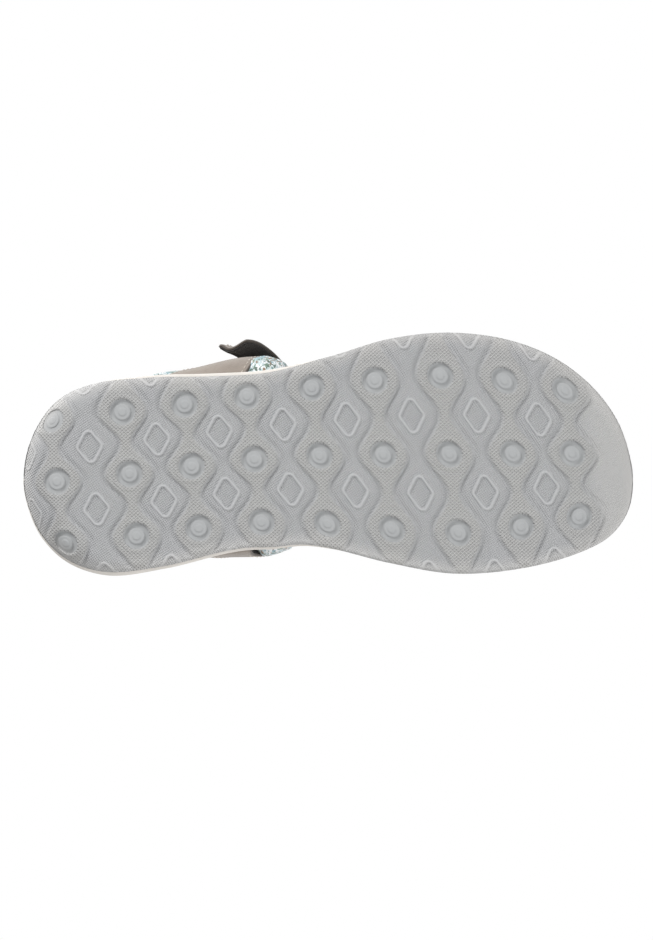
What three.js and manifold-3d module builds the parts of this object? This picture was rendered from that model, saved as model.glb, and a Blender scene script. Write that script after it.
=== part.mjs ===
// A strappy sport sandal for the right foot, in millimetres: +X towards the toe, +Y to the inner
// (medial) side, +Z up, standing on z = 0. A moulded outsole with a studded tread carries a cupped
// midsole, an insole board and a contoured footbed. Straps rise from slots between the cup's rim and
// the footbed: a front strap and an instep strap that close with hook and loop, a fixed middle strap,
// and a padded heel sling that the instep strap's saddles hold down at the waist.
import * as THREE from "three";
import { mergeVertices } from "three/addons/utils/BufferGeometryUtils.js";
import Module from "manifold-3d";

const wasm = await Module();
wasm.setup();

// ---- driving dimensions -------------------------------------------------------------------------

const GAP = 0.3; // between pieces that touch
const HEEL_X = -131; // the sole's rearmost point
const TOE_X = 131; // the sole's foremost point

// The sole's outline in plan, round from the heel by the outer side to the toe and back.
const OUTLINE = [
  [-131, 10], [-127.5, -7], [-117, -22.5], [-101, -30.3], [-76, -33.6], [-50, -34.4], [-25, -36],
  [0, -41.6], [26, -49.3], [52, -52], [78, -48.7], [98, -40.7], [114, -28], [125, -12.5], [130, 3],
  [131, 12], [129, 24], [121, 35], [106, 43], [84, 49], [54, 51.4], [26, 46.8], [2, 41],
  [-22, 38.6], [-44, 43], [-70, 49.5], [-95, 52], [-112, 46.5], [-123, 36], [-129, 23],
];

// Heights along the sole, as rows of [x, z].
const OUTSOLE_TOP = along([[-131, 15], [-60, 14], [0, 11], [60, 9.5], [100, 12.5], [131, 19.5]]);
const RIM_TOP = along([[-131, 35.5], [-90, 33], [-40, 31], [0, 27.5], [50, 23], [90, 24], [131, 31]]);
const TOE_SPRING = { from: 60, rise: 0.0022 }; // z = rise * (x - from)^2
const EDGE_ROUND = 8; // radius of the outsole's lower edge
const CUP_WALL = 2.5; // the midsole's rim, measured across
const CUP_DEPTH = 9; // from the rim's top down to the cup's floor
const BOARD = 1.2; // the insole board's thickness
const COVER = 1.2; // the footbed cover's thickness
const COVER_GAP = 0.6; // under the cover, measured straight up
const CUSHION = { x: -90, reach: 21, half: 18, thick: 1.8 };
const SOLE_STATIONS = 34;

// The tread: studded round pits in three rows, with a diamond recess between each four.
const TREAD = { firstX: -115.5, pitch: 27.65, columns: 9, skew: 0.115 };
const ROW_SPACING = along([[-131, 26.8], [-32, 26.8], [22, 31.6], [52, 33.5], [80, 31], [106, 26.6], [131, 22]]);
const ROW_MIDDLE = along([[-131, 13], [-88, 8.4], [-32, 1.8], [0, 0.2], [131, -0.8]]);
const PIT = { radius: 5.7, depth: 2.2, studRadius: 2.6, studTop: 1.1 };
const DIAMOND = { along: 0.165, across: 0.2, depth: 1.1 }; // shares of the pitch and the row spacing

// The foot's form that the straps follow: rows of [x, centre y, half width, height of the top].
const FORM = [
  [-85, 6, 35, 128], [-65, 3.5, 37.2, 118], [-45, 1.2, 38, 104], [-28, 0.6, 38, 93], [-8, 0.6, 35, 81],
  [10, 0.5, 34.5, 72], [30, 0, 38, 62], [52, 0, 42, 53], [75, 1.5, 41, 46], [100, 6, 34, 41],
];
const FORM_MIDDLE = column(FORM, 1);
const FORM_HALF = column(FORM, 2);
const FORM_TOP = column(FORM, 3);
const FORM_AXIS = along([[-85, 52], [-28, 50], [10, 42], [52, 34], [100, 31]]); // height of the widest line
const FORM_BELOW = 32; // how far the form reaches under its axis
const FORM_POWER = 2.2; // of the superellipse that each section is
const HEEL_END = { centre: -85, radius: 35, lean: 0.12, leanFrom: 60 };

// The straps that cross the foot. x and slant place them, rake tips their plane towards the toe, and
// tuck is how far below the form's widest line they follow it, in half turns.
const INSTEP = { x: -50, slant: 0.08, rake: 0.6, half: 15, tuck: 0.07 };
const MIDDLE = { x: 12, slant: 0.1, rake: 0.45, half: 10.5, tuck: 0.03 };
const FRONT = { x: 53, slant: 0.15, rake: 0.3, half: 15.5, tuck: 0 };
const ROOT_INSET = 6.5; // from the sole's outline in to the strap's inner face

// Layers of a strap, as distances out from the form.
const LAYER = {
  lining: [0.2, 0.9],
  outer: [1.2, 2.5],
  loop: [2.9, 3.6],
  hook: [3.9, 4.6],
  backing: [4.9, 5.6],
  flap: [5.9, 7.2],
  slingLining: [0, 0.7],
  slingFoam: [1, 2.7],
  slingOuter: [3, 3.9],
};
const OVER_SLING = 4.4; // how far a saddle steps out to pass over the sling
const STEP_UP = [32.5, 37.5]; // heights between which it steps out
const STEP_DOWN = [70, 82]; // and back in

// The heel sling: a padded band round the heel. Its ends pass under the saddles, and in front of them
// they reach down to the footbed.
const SLING = {
  outerEndX: -17,
  innerEndX: -15,
  bend: 95, // the run round the heel between its two straight sides
  lowEdge: [42, 67], // at the saddles and at the back of the heel
  highEdge: [66, 91],
  footEdge: [35, 39.5], // the low edge at its outer and inner ends
  footFrom: [11, 16], // how far from an end its foot begins to rise, and stops
  endTuck: 2,
};

// ---- helpers ------------------------------------------------------------------------------------

// A smooth value through [x, value] rows, held level past both ends.
function along(rows) {
  const slope = (i) => {
    const a = rows[Math.max(i - 1, 0)];
    const b = rows[Math.min(i + 1, rows.length - 1)];
    return (b[1] - a[1]) / (b[0] - a[0]);
  };
  return (x) => {
    if (x <= rows[0][0]) return rows[0][1];
    if (x >= rows[rows.length - 1][0]) return rows[rows.length - 1][1];
    const i = rows.findIndex((row) => row[0] > x) - 1;
    const width = rows[i + 1][0] - rows[i][0];
    const t = (x - rows[i][0]) / width;
    const rest = 1 - t;
    return (
      rows[i][1] * (1 + 2 * t) * rest * rest +
      slope(i) * width * t * rest * rest +
      rows[i + 1][1] * t * t * (3 - 2 * t) -
      slope(i + 1) * width * t * t * rest
    );
  };
}

function column(rows, k) {
  return along(rows.map((row) => [row[0], row[k]]));
}

function smoothstep(from, to, x) {
  const t = Math.min(Math.max((x - from) / (to - from), 0), 1);
  return t * t * (3 - 2 * t);
}

function mix(a, b, t) {
  return a + (b - a) * t;
}

// A closed geometry from points and triangles, turned so that its faces point out.
function closedGeometry(points, triangles) {
  let volume = 0;
  for (const [a, b, c] of triangles) {
    volume += points[a].dot(new THREE.Vector3().crossVectors(points[b], points[c]));
  }
  const index = triangles.flatMap(([a, b, c]) => (volume > 0 ? [a, b, c] : [a, c, b]));
  const geometry = new THREE.BufferGeometry().setFromPoints(points);
  geometry.setIndex(index);
  return geometry;
}

// A loft through sections, each a ring of the same number of points.
function loft(sections) {
  const count = sections[0].length;
  const triangles = [];
  for (let i = 0; i + 1 < sections.length; i++) {
    for (let k = 0; k < count; k++) {
      const next = (k + 1) % count;
      const [a, b] = [i * count + k, i * count + next];
      triangles.push([a, b, b + count], [a, b + count, a + count]);
    }
  }
  for (const end of [0, sections.length - 1]) {
    const flat = sections[end].map((p) => new THREE.Vector2(p.y, p.z));
    for (const [a, b, c] of THREE.ShapeUtils.triangulateShape(flat, [])) {
      const at = end * count;
      triangles.push(end ? [a + at, b + at, c + at] : [a, c, b]);
    }
  }
  return closedGeometry(sections.flat(), triangles);
}

// A sheet with thickness: place(u, v) gives a point and its outward normal, and low and high are its
// two faces' distances out along that normal.
function sheet(place, { steps, across, low, high }) {
  const points = [];
  for (const face of [low, high]) {
    for (let i = 0; i <= steps; i++) {
      for (let j = 0; j <= across; j++) {
        const { point, normal } = place(i / steps, (2 * j) / across - 1);
        points.push(point.clone().addScaledVector(normal, face(point, i / steps, (2 * j) / across - 1)));
      }
    }
  }
  const row = across + 1;
  const layer = row * (steps + 1);
  const triangles = [];
  const quad = (a, b, c, d) => triangles.push([a, b, c], [a, c, d]);
  for (let i = 0; i < steps; i++) {
    for (let j = 0; j < across; j++) {
      const a = i * row + j;
      quad(a, a + 1, a + 1 + row, a + row);
      quad(a + layer, a + row + layer, a + 1 + row + layer, a + 1 + layer);
    }
    const [left, right] = [i * row, i * row + across];
    quad(left, left + row, left + row + layer, left + layer);
    quad(right, right + layer, right + row + layer, right + row);
  }
  for (let j = 0; j < across; j++) {
    const end = steps * row + j;
    quad(j, j + layer, j + 1 + layer, j + 1);
    quad(end, end + 1, end + 1 + layer, end + layer);
  }
  return closedGeometry(points, triangles);
}

// A geometry as a manifold-3d solid, and back.
function solidOf(geometry) {
  const bare = geometry.clone();
  bare.deleteAttribute("normal");
  bare.deleteAttribute("uv");
  const merged = mergeVertices(bare, 1e-4);
  return new wasm.Manifold(
    new wasm.Mesh({
      numProp: 3,
      vertProperties: merged.attributes.position.array,
      triVerts: new Uint32Array(merged.index.array),
    }),
  );
}

function geometryOf(solid) {
  const mesh = solid.getMesh();
  const geometry = new THREE.BufferGeometry();
  geometry.setAttribute("position", new THREE.BufferAttribute(new Float32Array(mesh.vertProperties), 3));
  geometry.setIndex(new THREE.BufferAttribute(new Uint32Array(mesh.triVerts), 1));
  return geometry;
}

function cut(geometry, cutters) {
  const left = cutters.reduce((solid, cutter) => solid.subtract(solidOf(cutter)), solidOf(geometry));
  return geometryOf(left);
}

// ---- the sole -----------------------------------------------------------------------------------

const outlineCurve = new THREE.CatmullRomCurve3(
  OUTLINE.map(([x, y]) => new THREE.Vector3(x, y, 0)),
  true,
  "centripetal",
);

// The outline moved in by an inset, as a ring of points.
function insetRing(inset) {
  const count = 240;
  return Array.from({ length: count }, (_, i) => {
    const point = outlineCurve.getPoint(i / count);
    const way = outlineCurve.getTangent(i / count);
    return new THREE.Vector2(point.x - way.y * inset, point.y + way.x * inset);
  });
}

const rings = new Map();

// The outline's outer and inner y at x, moved in by an inset, and its reach along x.
function soleEdges(x, inset) {
  if (!rings.has(inset)) rings.set(inset, insetRing(inset));
  const ring = rings.get(inset);
  const crossings = [];
  ring.forEach((a, i) => {
    const b = ring[(i + 1) % ring.length];
    if (a.x <= x !== b.x <= x) crossings.push(mix(a.y, b.y, (x - a.x) / (b.x - a.x)));
  });
  return [Math.min(...crossings), Math.max(...crossings)];
}

// Stations along the sole, closer together at its two ends.
function stations(inset, count = SOLE_STATIONS) {
  const reach = (TOE_X - HEEL_X) / 2 - inset;
  return Array.from({ length: count + 1 }, (_, i) => {
    const turn = (Math.PI * i) / count;
    return -(reach - 0.06) * Math.cos(turn);
  });
}

function groundHeight(x) {
  const spring = TOE_SPRING.rise * Math.max(0, x - TOE_SPRING.from) ** 2;
  const fromEnd = Math.min(x - HEEL_X, TOE_X - x, EDGE_ROUND);
  return spring + EDGE_ROUND - Math.sqrt(EDGE_ROUND ** 2 - (EDGE_ROUND - fromEnd) ** 2);
}

// A layer of the sole between two heights, each a function of x and the share across (-1 to 1).
function soleLayer({ inset, low, high, corner = 0, count }) {
  const shares = [-1, -0.8, -0.45, 0, 0.45, 0.8, 1];
  const sections = stations(inset, count).map((x) => {
    const [outer, inner] = soleEdges(x, inset);
    const at = (share) => mix(outer, inner, (share + 1) / 2);
    const round = Math.min(corner, (inner - outer) / 2.2, Math.max(0.5, high(x, 0) - low(x, 0) - 1));
    const under = [];
    if (round) {
      for (let k = 0; k <= 3; k++) {
        const turn = (Math.PI / 2) * (1 - k / 3);
        const lift = round * (1 - Math.cos(turn));
        under.push([outer + round * (1 - Math.sin(turn)), low(x, 0) + lift]);
      }
      under.push(...[...under].reverse().map(([y, z]) => [inner - (y - outer), z]));
    } else {
      under.push(...shares.map((share) => [at(share), low(x, share)]));
    }
    const over = [...shares].reverse().map((share) => [at(share), high(x, share)]);
    return [...under, ...over].map(([y, z]) => new THREE.Vector3(x, y, z));
  });
  return loft(sections);
}

// The tread's places: whole numbers are pits, halves are diamonds.
function treadPoint(columnAt, rowAt) {
  const middleX = TREAD.firstX + TREAD.pitch * columnAt;
  const across = rowAt * ROW_SPACING(middleX);
  return new THREE.Vector2(middleX + TREAD.skew * across, ROW_MIDDLE(middleX) + across);
}

function insideSole(point, margin) {
  if (Math.abs(point.x) > TOE_X - margin) return false;
  const [outer, inner] = soleEdges(point.x, margin);
  return point.y > outer && point.y < inner;
}

function pitCutter(x, y) {
  const { radius, depth, studRadius, studTop } = PIT;
  const profile = [
    [0, -9], [radius, -9], [radius, depth], [studRadius, depth], [studRadius, studTop], [0, studTop],
  ].map(([r, z]) => new THREE.Vector2(r, z));
  const cutter = new THREE.LatheGeometry(profile, 12);
  return cutter.rotateX(Math.PI / 2).translate(x, y, groundHeight(x));
}

function diamondCutter(x, y, rowSpacing) {
  const [halfX, halfY] = [DIAMOND.along * TREAD.pitch, DIAMOND.across * rowSpacing];
  const shape = new THREE.Shape();
  shape.moveTo(-halfX, 0);
  shape.lineTo(-halfX * 0.15, -halfY);
  shape.lineTo(halfX * 0.15, -halfY);
  shape.lineTo(halfX, 0);
  shape.lineTo(halfX * 0.15, halfY);
  shape.lineTo(-halfX * 0.15, halfY);
  const cutter = new THREE.ExtrudeGeometry(shape, { depth: 9 + DIAMOND.depth, bevelEnabled: false });
  return cutter.translate(x, y, groundHeight(x) - 9);
}

function treadCutters() {
  const cutters = [];
  for (let i = 0; i < TREAD.columns; i++) {
    for (const row of [-1, 0, 1]) {
      const at = treadPoint(i, row);
      if (insideSole(at, PIT.radius + 3)) cutters.push(pitCutter(at.x, at.y));
      const between = treadPoint(i + 0.5, row + 0.5);
      if (row < 1 && i + 1 < TREAD.columns && insideSole(between, 9)) {
        cutters.push(diamondCutter(between.x, between.y, ROW_SPACING(between.x)));
      }
    }
  }
  return cutters;
}

// The footbed's top: dished across, deeper at the heel, and raised under the arch.
const DISH = along([[-131, 1], [-95, 5], [-50, 3.2], [0, 1.6], [70, 1.8], [131, 0.8]]);
const ARCH = along([[-75, 0], [-28, 4.2], [20, 0.6], [50, 0]]);

function footbedTop(x, share) {
  return RIM_TOP(x) + 1.6 - DISH(x) * (1 - share * share) + ARCH(x) * smoothstep(0.1, 1, share);
}

function cupFloor(x) {
  return RIM_TOP(x) - CUP_DEPTH;
}

// The stiffener between outsole and midsole, from under the heel to the ball of the foot.
function shankSolid(grow) {
  const [from, to, half, thick] = [-84, 12, 9, 1.8];
  const count = 16;
  const sections = Array.from({ length: count + 1 }, (_, i) => {
    const x = mix(from - grow, to + grow, i / count);
    const low = OUTSOLE_TOP(x) + GAP - (grow ? 1 : 0);
    const high = OUTSOLE_TOP(x) + GAP + thick + grow;
    const y = ROW_MIDDLE(x);
    const width = half + grow;
    return [[-width, low], [width, low], [width, high], [-width, high]].map(
      ([dy, z]) => new THREE.Vector3(x, y + dy, z),
    );
  });
  return loft(sections);
}

function boardTop(x) {
  return cupFloor(x) + GAP + BOARD;
}

// The soft heel cushion, an oval set into the footbed's underside.
function heelCushion(grow) {
  const count = 14;
  const sections = Array.from({ length: count + 1 }, (_, i) => {
    const turn = mix(0.04, 0.96, i / count) * Math.PI;
    const x = CUSHION.x - (CUSHION.reach + grow) * Math.cos(turn);
    const half = (CUSHION.half + grow) * Math.sin(turn);
    const low = boardTop(x) + GAP - (grow ? 1 : 0);
    const high = boardTop(x) + GAP + CUSHION.thick + grow;
    const y = ROW_MIDDLE(x);
    return [[-half, low], [half, low], [half, high], [-half, high]].map(
      ([dy, z]) => new THREE.Vector3(x, y + dy, z),
    );
  });
  return loft(sections);
}

// ---- the foot's form ----------------------------------------------------------------------------

// Below 0 inside the form, above 0 outside it.
function formValue(p) {
  const x = p.x - HEEL_END.lean * Math.max(0, p.z - HEEL_END.leanFrom);
  let half = FORM_HALF(x);
  if (x < HEEL_END.centre) {
    const share = (HEEL_END.centre - x) / HEEL_END.radius;
    if (share >= 1) return 1;
    half *= Math.sqrt(1 - share * share);
  }
  const axis = FORM_AXIS(x);
  const reach = p.z > axis ? FORM_TOP(x) - axis : FORM_BELOW;
  const across = Math.abs(p.y - FORM_MIDDLE(x)) / Math.max(half, 0.01);
  return across ** FORM_POWER + (Math.abs(p.z - axis) / reach) ** FORM_POWER - 1;
}

// The form's surface met from inside, from a point in a direction.
function meetForm(from, way) {
  let [near, far] = [0, 140];
  for (let i = 0; i < 40; i++) {
    const middle = (near + far) / 2;
    if (formValue(from.clone().addScaledVector(way, middle)) < 0) near = middle;
    else far = middle;
  }
  return from.clone().addScaledVector(way, near);
}

// ---- straps across the foot ---------------------------------------------------------------------

// A point on the form in a crossing strap's plane. turn runs from 0 on the inner side, over the top
// at a half, to 1 on the outer side, and across is in mm towards the toe.
function crossingPoint(strap, turn, across) {
  const angle = Math.PI * turn;
  const way = new THREE.Vector3(0, Math.cos(angle), Math.sin(angle));
  let point = new THREE.Vector3(strap.x + across, 0, 40);
  for (let i = 0; i < 4; i++) {
    const x = strap.x + strap.slant * point.y + strap.rake * (point.z - RIM_TOP(strap.x)) + across;
    point = meetForm(new THREE.Vector3(x, FORM_MIDDLE(x), FORM_AXIS(x)), way);
  }
  return point;
}

// Where a crossing strap stands in its slot: side is 1 on the inner side and -1 on the outer one.
function rootPoint(strap, side, across, height) {
  let x = strap.x + across;
  for (let i = 0; i < 3; i++) {
    const [outer, inner] = soleEdges(x, ROOT_INSET);
    x = strap.x + across + strap.slant * (side > 0 ? inner : outer);
  }
  const [outer, inner] = soleEdges(x, ROOT_INSET);
  return new THREE.Vector3(x, side > 0 ? inner : outer, height(x));
}

// The whole line that a crossing strap follows at one place across its width, from slot to slot.
function crossingLine(strap, across) {
  const foot = (side) => [
    rootPoint(strap, side, across, (x) => cupFloor(x) + GAP),
    rootPoint(strap, side, across, (x) => RIM_TOP(x) + 2),
  ];
  const over = Array.from({ length: 15 }, (_, i) =>
    crossingPoint(strap, mix(-strap.tuck, 1 + strap.tuck, i / 14), across),
  );
  return new THREE.CatmullRomCurve3([...foot(1), ...over, ...foot(-1).reverse()], false, "centripetal");
}

// place(u, v) for the stretch of a crossing strap between two shares of its length, 0 at its inner
// slot and 1 at its outer one. width(u) is its half width's share, for rounded ends.
function crossing(strap, from, to, { grow = 0, inset = 0, width = () => 1 } = {}) {
  const lines = new Map();
  const lineAt = (across) => {
    const key = across.toFixed(4);
    if (!lines.has(key)) lines.set(key, crossingLine(strap, across));
    return lines.get(key);
  };
  const half = strap.half + grow - inset;
  const pointAt = (share, v) => lineAt(v * half).getPointAt(Math.min(Math.max(share, 0), 1));
  return (u, v) => {
    const share = mix(from, to, u);
    const reach = v * width(u);
    const step = 0.008;
    const alongWay = pointAt(share + step, reach).sub(pointAt(share - step, reach));
    const acrossWay = pointAt(share, reach + step).sub(pointAt(share, reach - step));
    const normal = new THREE.Vector3().crossVectors(alongWay, acrossWay).normalize();
    return { point: pointAt(share, reach), normal };
  };
}

// How far the outer side's layers step out where they pass over the sling.
function overSling(point) {
  const up = smoothstep(STEP_UP[0], STEP_UP[1], point.z);
  return OVER_SLING * up * (1 - smoothstep(STEP_DOWN[0], STEP_DOWN[1], point.z));
}


function none() {
  return 0;
}

// A closing strap's fixed inner half steps out and stays out, level with its flap.
const FLAP_RISE = LAYER.backing[0] - LAYER.lining[0];

function instepRise(point) {
  return FLAP_RISE * smoothstep(STEP_UP[0], STEP_UP[1], point.z);
}

function frontRise(point) {
  return FLAP_RISE * smoothstep(RIM_TOP(FRONT.x) + 3, RIM_TOP(FRONT.x) + 22, point.z);
}

// One layer of a crossing strap. step(point) is added to both faces' distances.
function strapLayer(strap, from, to, [low, high], { step = none, steps = 14, grow = 0, ...rest } = {}) {
  return sheet(crossing(strap, from, to, { grow, ...rest }), {
    steps,
    across: 4,
    low: (point, u, v) => low - grow + step(point, u, v),
    high: (point, u, v) => high + grow + step(point, u, v),
  });
}

// ---- the heel sling -----------------------------------------------------------------------------

// place(u, v) for the sling, from its outer end, round the heel, to its inner end.
function slingPlace(inset) {
  const outerRun = SLING.outerEndX - HEEL_END.centre;
  const innerRun = SLING.innerEndX - HEEL_END.centre;
  const total = outerRun + SLING.bend + innerRun;
  const heightAt = (s, fromEnd, v) => {
    const rise = smoothstep(25, total / 2 - 6, fromEnd);
    const foot = 1 - smoothstep(...SLING.footFrom, fromEnd);
    const corner = 7 * (1 - smoothstep(0, 11, fromEnd));
    const footEdge = SLING.footEdge[s < total / 2 ? 0 : 1];
    const low = mix(mix(...SLING.lowEdge, rise), footEdge, foot) + inset;
    const high = mix(...SLING.highEdge, rise) - corner - inset;
    return mix(low, high, (v + 1) / 2);
  };
  const pointAt = (u, v) => {
    const s = Math.min(Math.max(u, 0), 1) * total;
    const fromEnd = Math.min(s, total - s);
    const z = heightAt(s, fromEnd, v);
    const round = Math.min(Math.max((s - outerRun) / SLING.bend, 0), 1);
    const turn = (1.5 - round) * Math.PI;
    const x = HEEL_END.centre + Math.max(outerRun - s, s - outerRun - SLING.bend, 0);
    const lean = HEEL_END.lean * Math.max(0, z - HEEL_END.leanFrom);
    const way = new THREE.Vector3(Math.cos(turn), Math.sin(turn), 0);
    const from = new THREE.Vector3(x + lean, FORM_MIDDLE(x), z);
    const tuck = SLING.endTuck * (1 - smoothstep(0, 14, fromEnd));
    return meetForm(from, way).addScaledVector(way, -tuck);
  };
  return (u, v) => {
    const step = 0.006;
    const alongWay = pointAt(u + step, v).sub(pointAt(u - step, v));
    const acrossWay = pointAt(u, Math.min(v + step, 1)).sub(pointAt(u, Math.max(v - step, -1)));
    return { point: pointAt(u, v), normal: acrossWay.cross(alongWay).normalize() };
  };
}

function slingLayer([low, high], inset) {
  return sheet(slingPlace(inset), { steps: 36, across: 4, low: () => low, high: () => high });
}

// ---- building the pieces ------------------------------------------------------------------------

const MATERIALS = {
  tread: { color: 0xa9acab, roughness: 0.8, metalness: 0 },
  midsole: { color: 0xcfcac2, roughness: 0.75, metalness: 0 },
  board: { color: 0x9a8266, roughness: 0.9, metalness: 0 },
  steel: { color: 0x8d9094, roughness: 0.35, metalness: 1 },
  foam: { color: 0x6f7276, roughness: 0.9, metalness: 0 },
  gel: { color: 0x7ea3a8, roughness: 0.5, metalness: 0 },
  microfibre: { color: 0x6c6258, roughness: 0.95, metalness: 0 },
  nubuck: { color: 0xa4978a, roughness: 0.9, metalness: 0 },
  print: { color: 0x9fb3ae, roughness: 0.7, metalness: 0 },
  lining: { color: 0x2e2c2c, roughness: 0.95, metalness: 0 },
  hook: { color: 0x1d1c1d, roughness: 0.8, metalness: 0 },
};
const materials = Object.fromEntries(
  Object.entries(MATERIALS).map(([name, look]) => [name, new THREE.MeshStandardMaterial(look)]),
);

const sandal = new THREE.Group();

function add(name, material, geometry) {
  const mesh = new THREE.Mesh(geometry, materials[material]);
  mesh.name = name;
  sandal.add(mesh);
}

// Where the closing straps' flaps begin and end and lie on their anchors, as shares of the strap.
const CLOSURE = {
  hinge: 0.4,
  flapEnd: 0.81,
  anchorEnd: 0.5,
  patchFrom: 0.52,
  patchTo: 0.66,
};
const FRONT_CLOSURE = { hinge: 0.33, flapEnd: 0.75, anchorEnd: 0.48, patchFrom: 0.51, patchTo: 0.65 };

// The instep flap's pull tab curls away from the saddle, most of all near its middle.
function tabFlare(point, u, v) {
  return (2.6 + 1.2 * Math.cos(Math.PI * (v - 0.2))) * smoothstep(0.66, 1, u) + overSling(point);
}

function frontTabFlare(point, u) {
  return 2.2 * smoothstep(0.84, 1, u);
}

// A tab's rounded end: full width, then narrowing in the last share of its length.
function roundedEnd(share) {
  return (u) => {
    const t = Math.max(0, (u - (1 - share)) / share);
    return Math.sqrt(1 - 0.86 * t * t);
  };
}

// The other way round, for an anchor whose free end comes first.
function roundedStart(share) {
  const end = roundedEnd(share);
  return (u) => end(1 - u);
}

function buildSole(slots) {
  const outsole = soleLayer({
    inset: 0,
    low: groundHeight,
    high: OUTSOLE_TOP,
    corner: EDGE_ROUND,
  });
  add("outsole", "tread", cut(outsole, treadCutters()));

  const body = soleLayer({ inset: 0, low: (x) => OUTSOLE_TOP(x) + GAP, high: RIM_TOP });
  const cup = soleLayer({ inset: CUP_WALL, low: cupFloor, high: (x) => RIM_TOP(x) + 9 });
  add("midsole", "midsole", cut(body, [cup, shankSolid(GAP)]));
  add("shank", "steel", shankSolid(0));

  const board = soleLayer({
    inset: ROOT_INSET + 1.2,
    low: (x) => cupFloor(x) + GAP,
    high: boardTop,
    count: 24,
  });
  add("insole_board", "board", board);

  const footbed = soleLayer({
    inset: CUP_WALL + GAP,
    low: (x) => boardTop(x) + GAP,
    high: footbedTop,
  });
  add("footbed", "foam", cut(footbed, [...slots, heelCushion(GAP)]));
  add("heel_cushion", "gel", heelCushion(0));
  const cover = soleLayer({
    inset: CUP_WALL + GAP,
    low: (x, share) => footbedTop(x, share) + COVER_GAP,
    high: (x, share) => footbedTop(x, share) + COVER_GAP + COVER,
  });
  add("footbed_cover", "microfibre", cut(cover, slots));
}

function buildSling() {
  add("heel_sling_outer", "print", slingLayer(LAYER.slingOuter, 0));
  add("heel_sling_padding", "foam", slingLayer(LAYER.slingFoam, 0.8));
  add("heel_sling_lining", "lining", slingLayer(LAYER.slingLining, 0));
}

// The stretches of strap that stand in the sole, as strap, from, to and how each is laid.
const SEAM = 0.005; // between a fixed inner half and its flap, as a share of the strap
const ROOTED = {
  instep_strap_inner: [INSTEP, 0, CLOSURE.hinge - SEAM, { step: instepRise, steps: 16 }],
  instep_anchor: [INSTEP, CLOSURE.anchorEnd, 1, { step: overSling, width: roundedStart(0.16), steps: 20 }],
  front_strap_inner: [FRONT, 0, FRONT_CLOSURE.hinge - SEAM, { step: frontRise }],
  front_anchor: [FRONT, FRONT_CLOSURE.anchorEnd, 1, { width: roundedStart(0.16), steps: 18 }],
  middle_strap: [MIDDLE, 0, 1, { steps: 26 }],
};

function buildRooted() {
  for (const [name, [strap, from, to, rest]] of Object.entries(ROOTED)) {
    const face = strap === MIDDLE ? "print" : "nubuck";
    add(name, face, strapLayer(strap, from, to, LAYER.outer, rest));
    add(`${name}_lining`, "lining", strapLayer(strap, from, to, LAYER.lining, { ...rest, inset: 0.8 }));
  }
}

// A closing strap's flap, and the hook and loop patches between it and its anchor.
function buildFlap(name, strap, { hinge, flapEnd, patchFrom, patchTo }, anchorStep, flare) {
  const small = { steps: 6, inset: 2.2, step: anchorStep };
  add(`${name}_loop_patch`, "hook", strapLayer(strap, patchFrom, patchTo, LAYER.loop, small));
  add(`${name}_hook_patch`, "hook", strapLayer(strap, patchFrom, patchTo, LAYER.hook, small));
  const whole = { step: flare, width: roundedEnd(0.16), steps: 16 };
  add(`${name}_flap`, "nubuck", strapLayer(strap, hinge, flapEnd, LAYER.flap, whole));
  const backing = strapLayer(strap, hinge, flapEnd, LAYER.backing, { ...whole, inset: 0.8 });
  add(`${name}_flap_backing`, "lining", backing);
}

// The slots that the straps' roots leave in the footbed and its cover.
function strapSlots() {
  const whole = [LAYER.lining[0], LAYER.outer[1]];
  return Object.values(ROOTED).map(([strap, from, to, rest]) =>
    strapLayer(strap, from, to, whole, { ...rest, grow: GAP }),
  );
}

buildSole(strapSlots());
buildSling();
buildRooted();
buildFlap("instep", INSTEP, CLOSURE, overSling, tabFlare);
buildFlap("front", FRONT, FRONT_CLOSURE, none, frontTabFlare);

// The origin goes to the middle of the footprint, on the ground.
const box = new THREE.Box3().setFromObject(sandal);
sandal.position.set(-(box.min.x + box.max.x) / 2, -(box.min.y + box.max.y) / 2, -box.min.z);

export default sandal;
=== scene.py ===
"""A strappy sport sandal for the right foot, seen from straight below, with its studded tread, nubuck and
printed straps, padded heel sling and hook-and-loop flaps. Shapes are worked out in millimetres, in the
CAD's frame: +X towards the toe, +Y to the inner side, +Z up, the tread on z = 0."""

import math
from types import SimpleNamespace

import bpy
import numpy as np
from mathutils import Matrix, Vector

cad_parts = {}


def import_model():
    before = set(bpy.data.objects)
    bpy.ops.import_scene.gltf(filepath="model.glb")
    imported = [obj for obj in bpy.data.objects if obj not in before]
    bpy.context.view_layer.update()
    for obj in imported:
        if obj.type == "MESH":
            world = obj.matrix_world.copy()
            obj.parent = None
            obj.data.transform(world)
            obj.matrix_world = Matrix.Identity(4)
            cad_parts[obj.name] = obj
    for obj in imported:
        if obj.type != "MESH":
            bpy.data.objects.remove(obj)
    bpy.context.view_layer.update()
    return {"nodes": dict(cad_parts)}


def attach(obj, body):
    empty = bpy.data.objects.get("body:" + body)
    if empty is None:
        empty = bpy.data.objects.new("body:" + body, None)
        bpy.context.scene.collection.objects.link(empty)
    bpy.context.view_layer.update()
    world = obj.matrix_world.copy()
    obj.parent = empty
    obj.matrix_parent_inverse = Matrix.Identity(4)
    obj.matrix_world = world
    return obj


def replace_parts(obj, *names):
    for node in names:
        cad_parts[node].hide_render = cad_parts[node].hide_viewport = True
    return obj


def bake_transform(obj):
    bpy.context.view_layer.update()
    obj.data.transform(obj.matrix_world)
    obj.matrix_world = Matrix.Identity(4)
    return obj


MM = 0.001

# ---- dimensions shared with the CAD -------------------------------------------------------------

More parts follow.
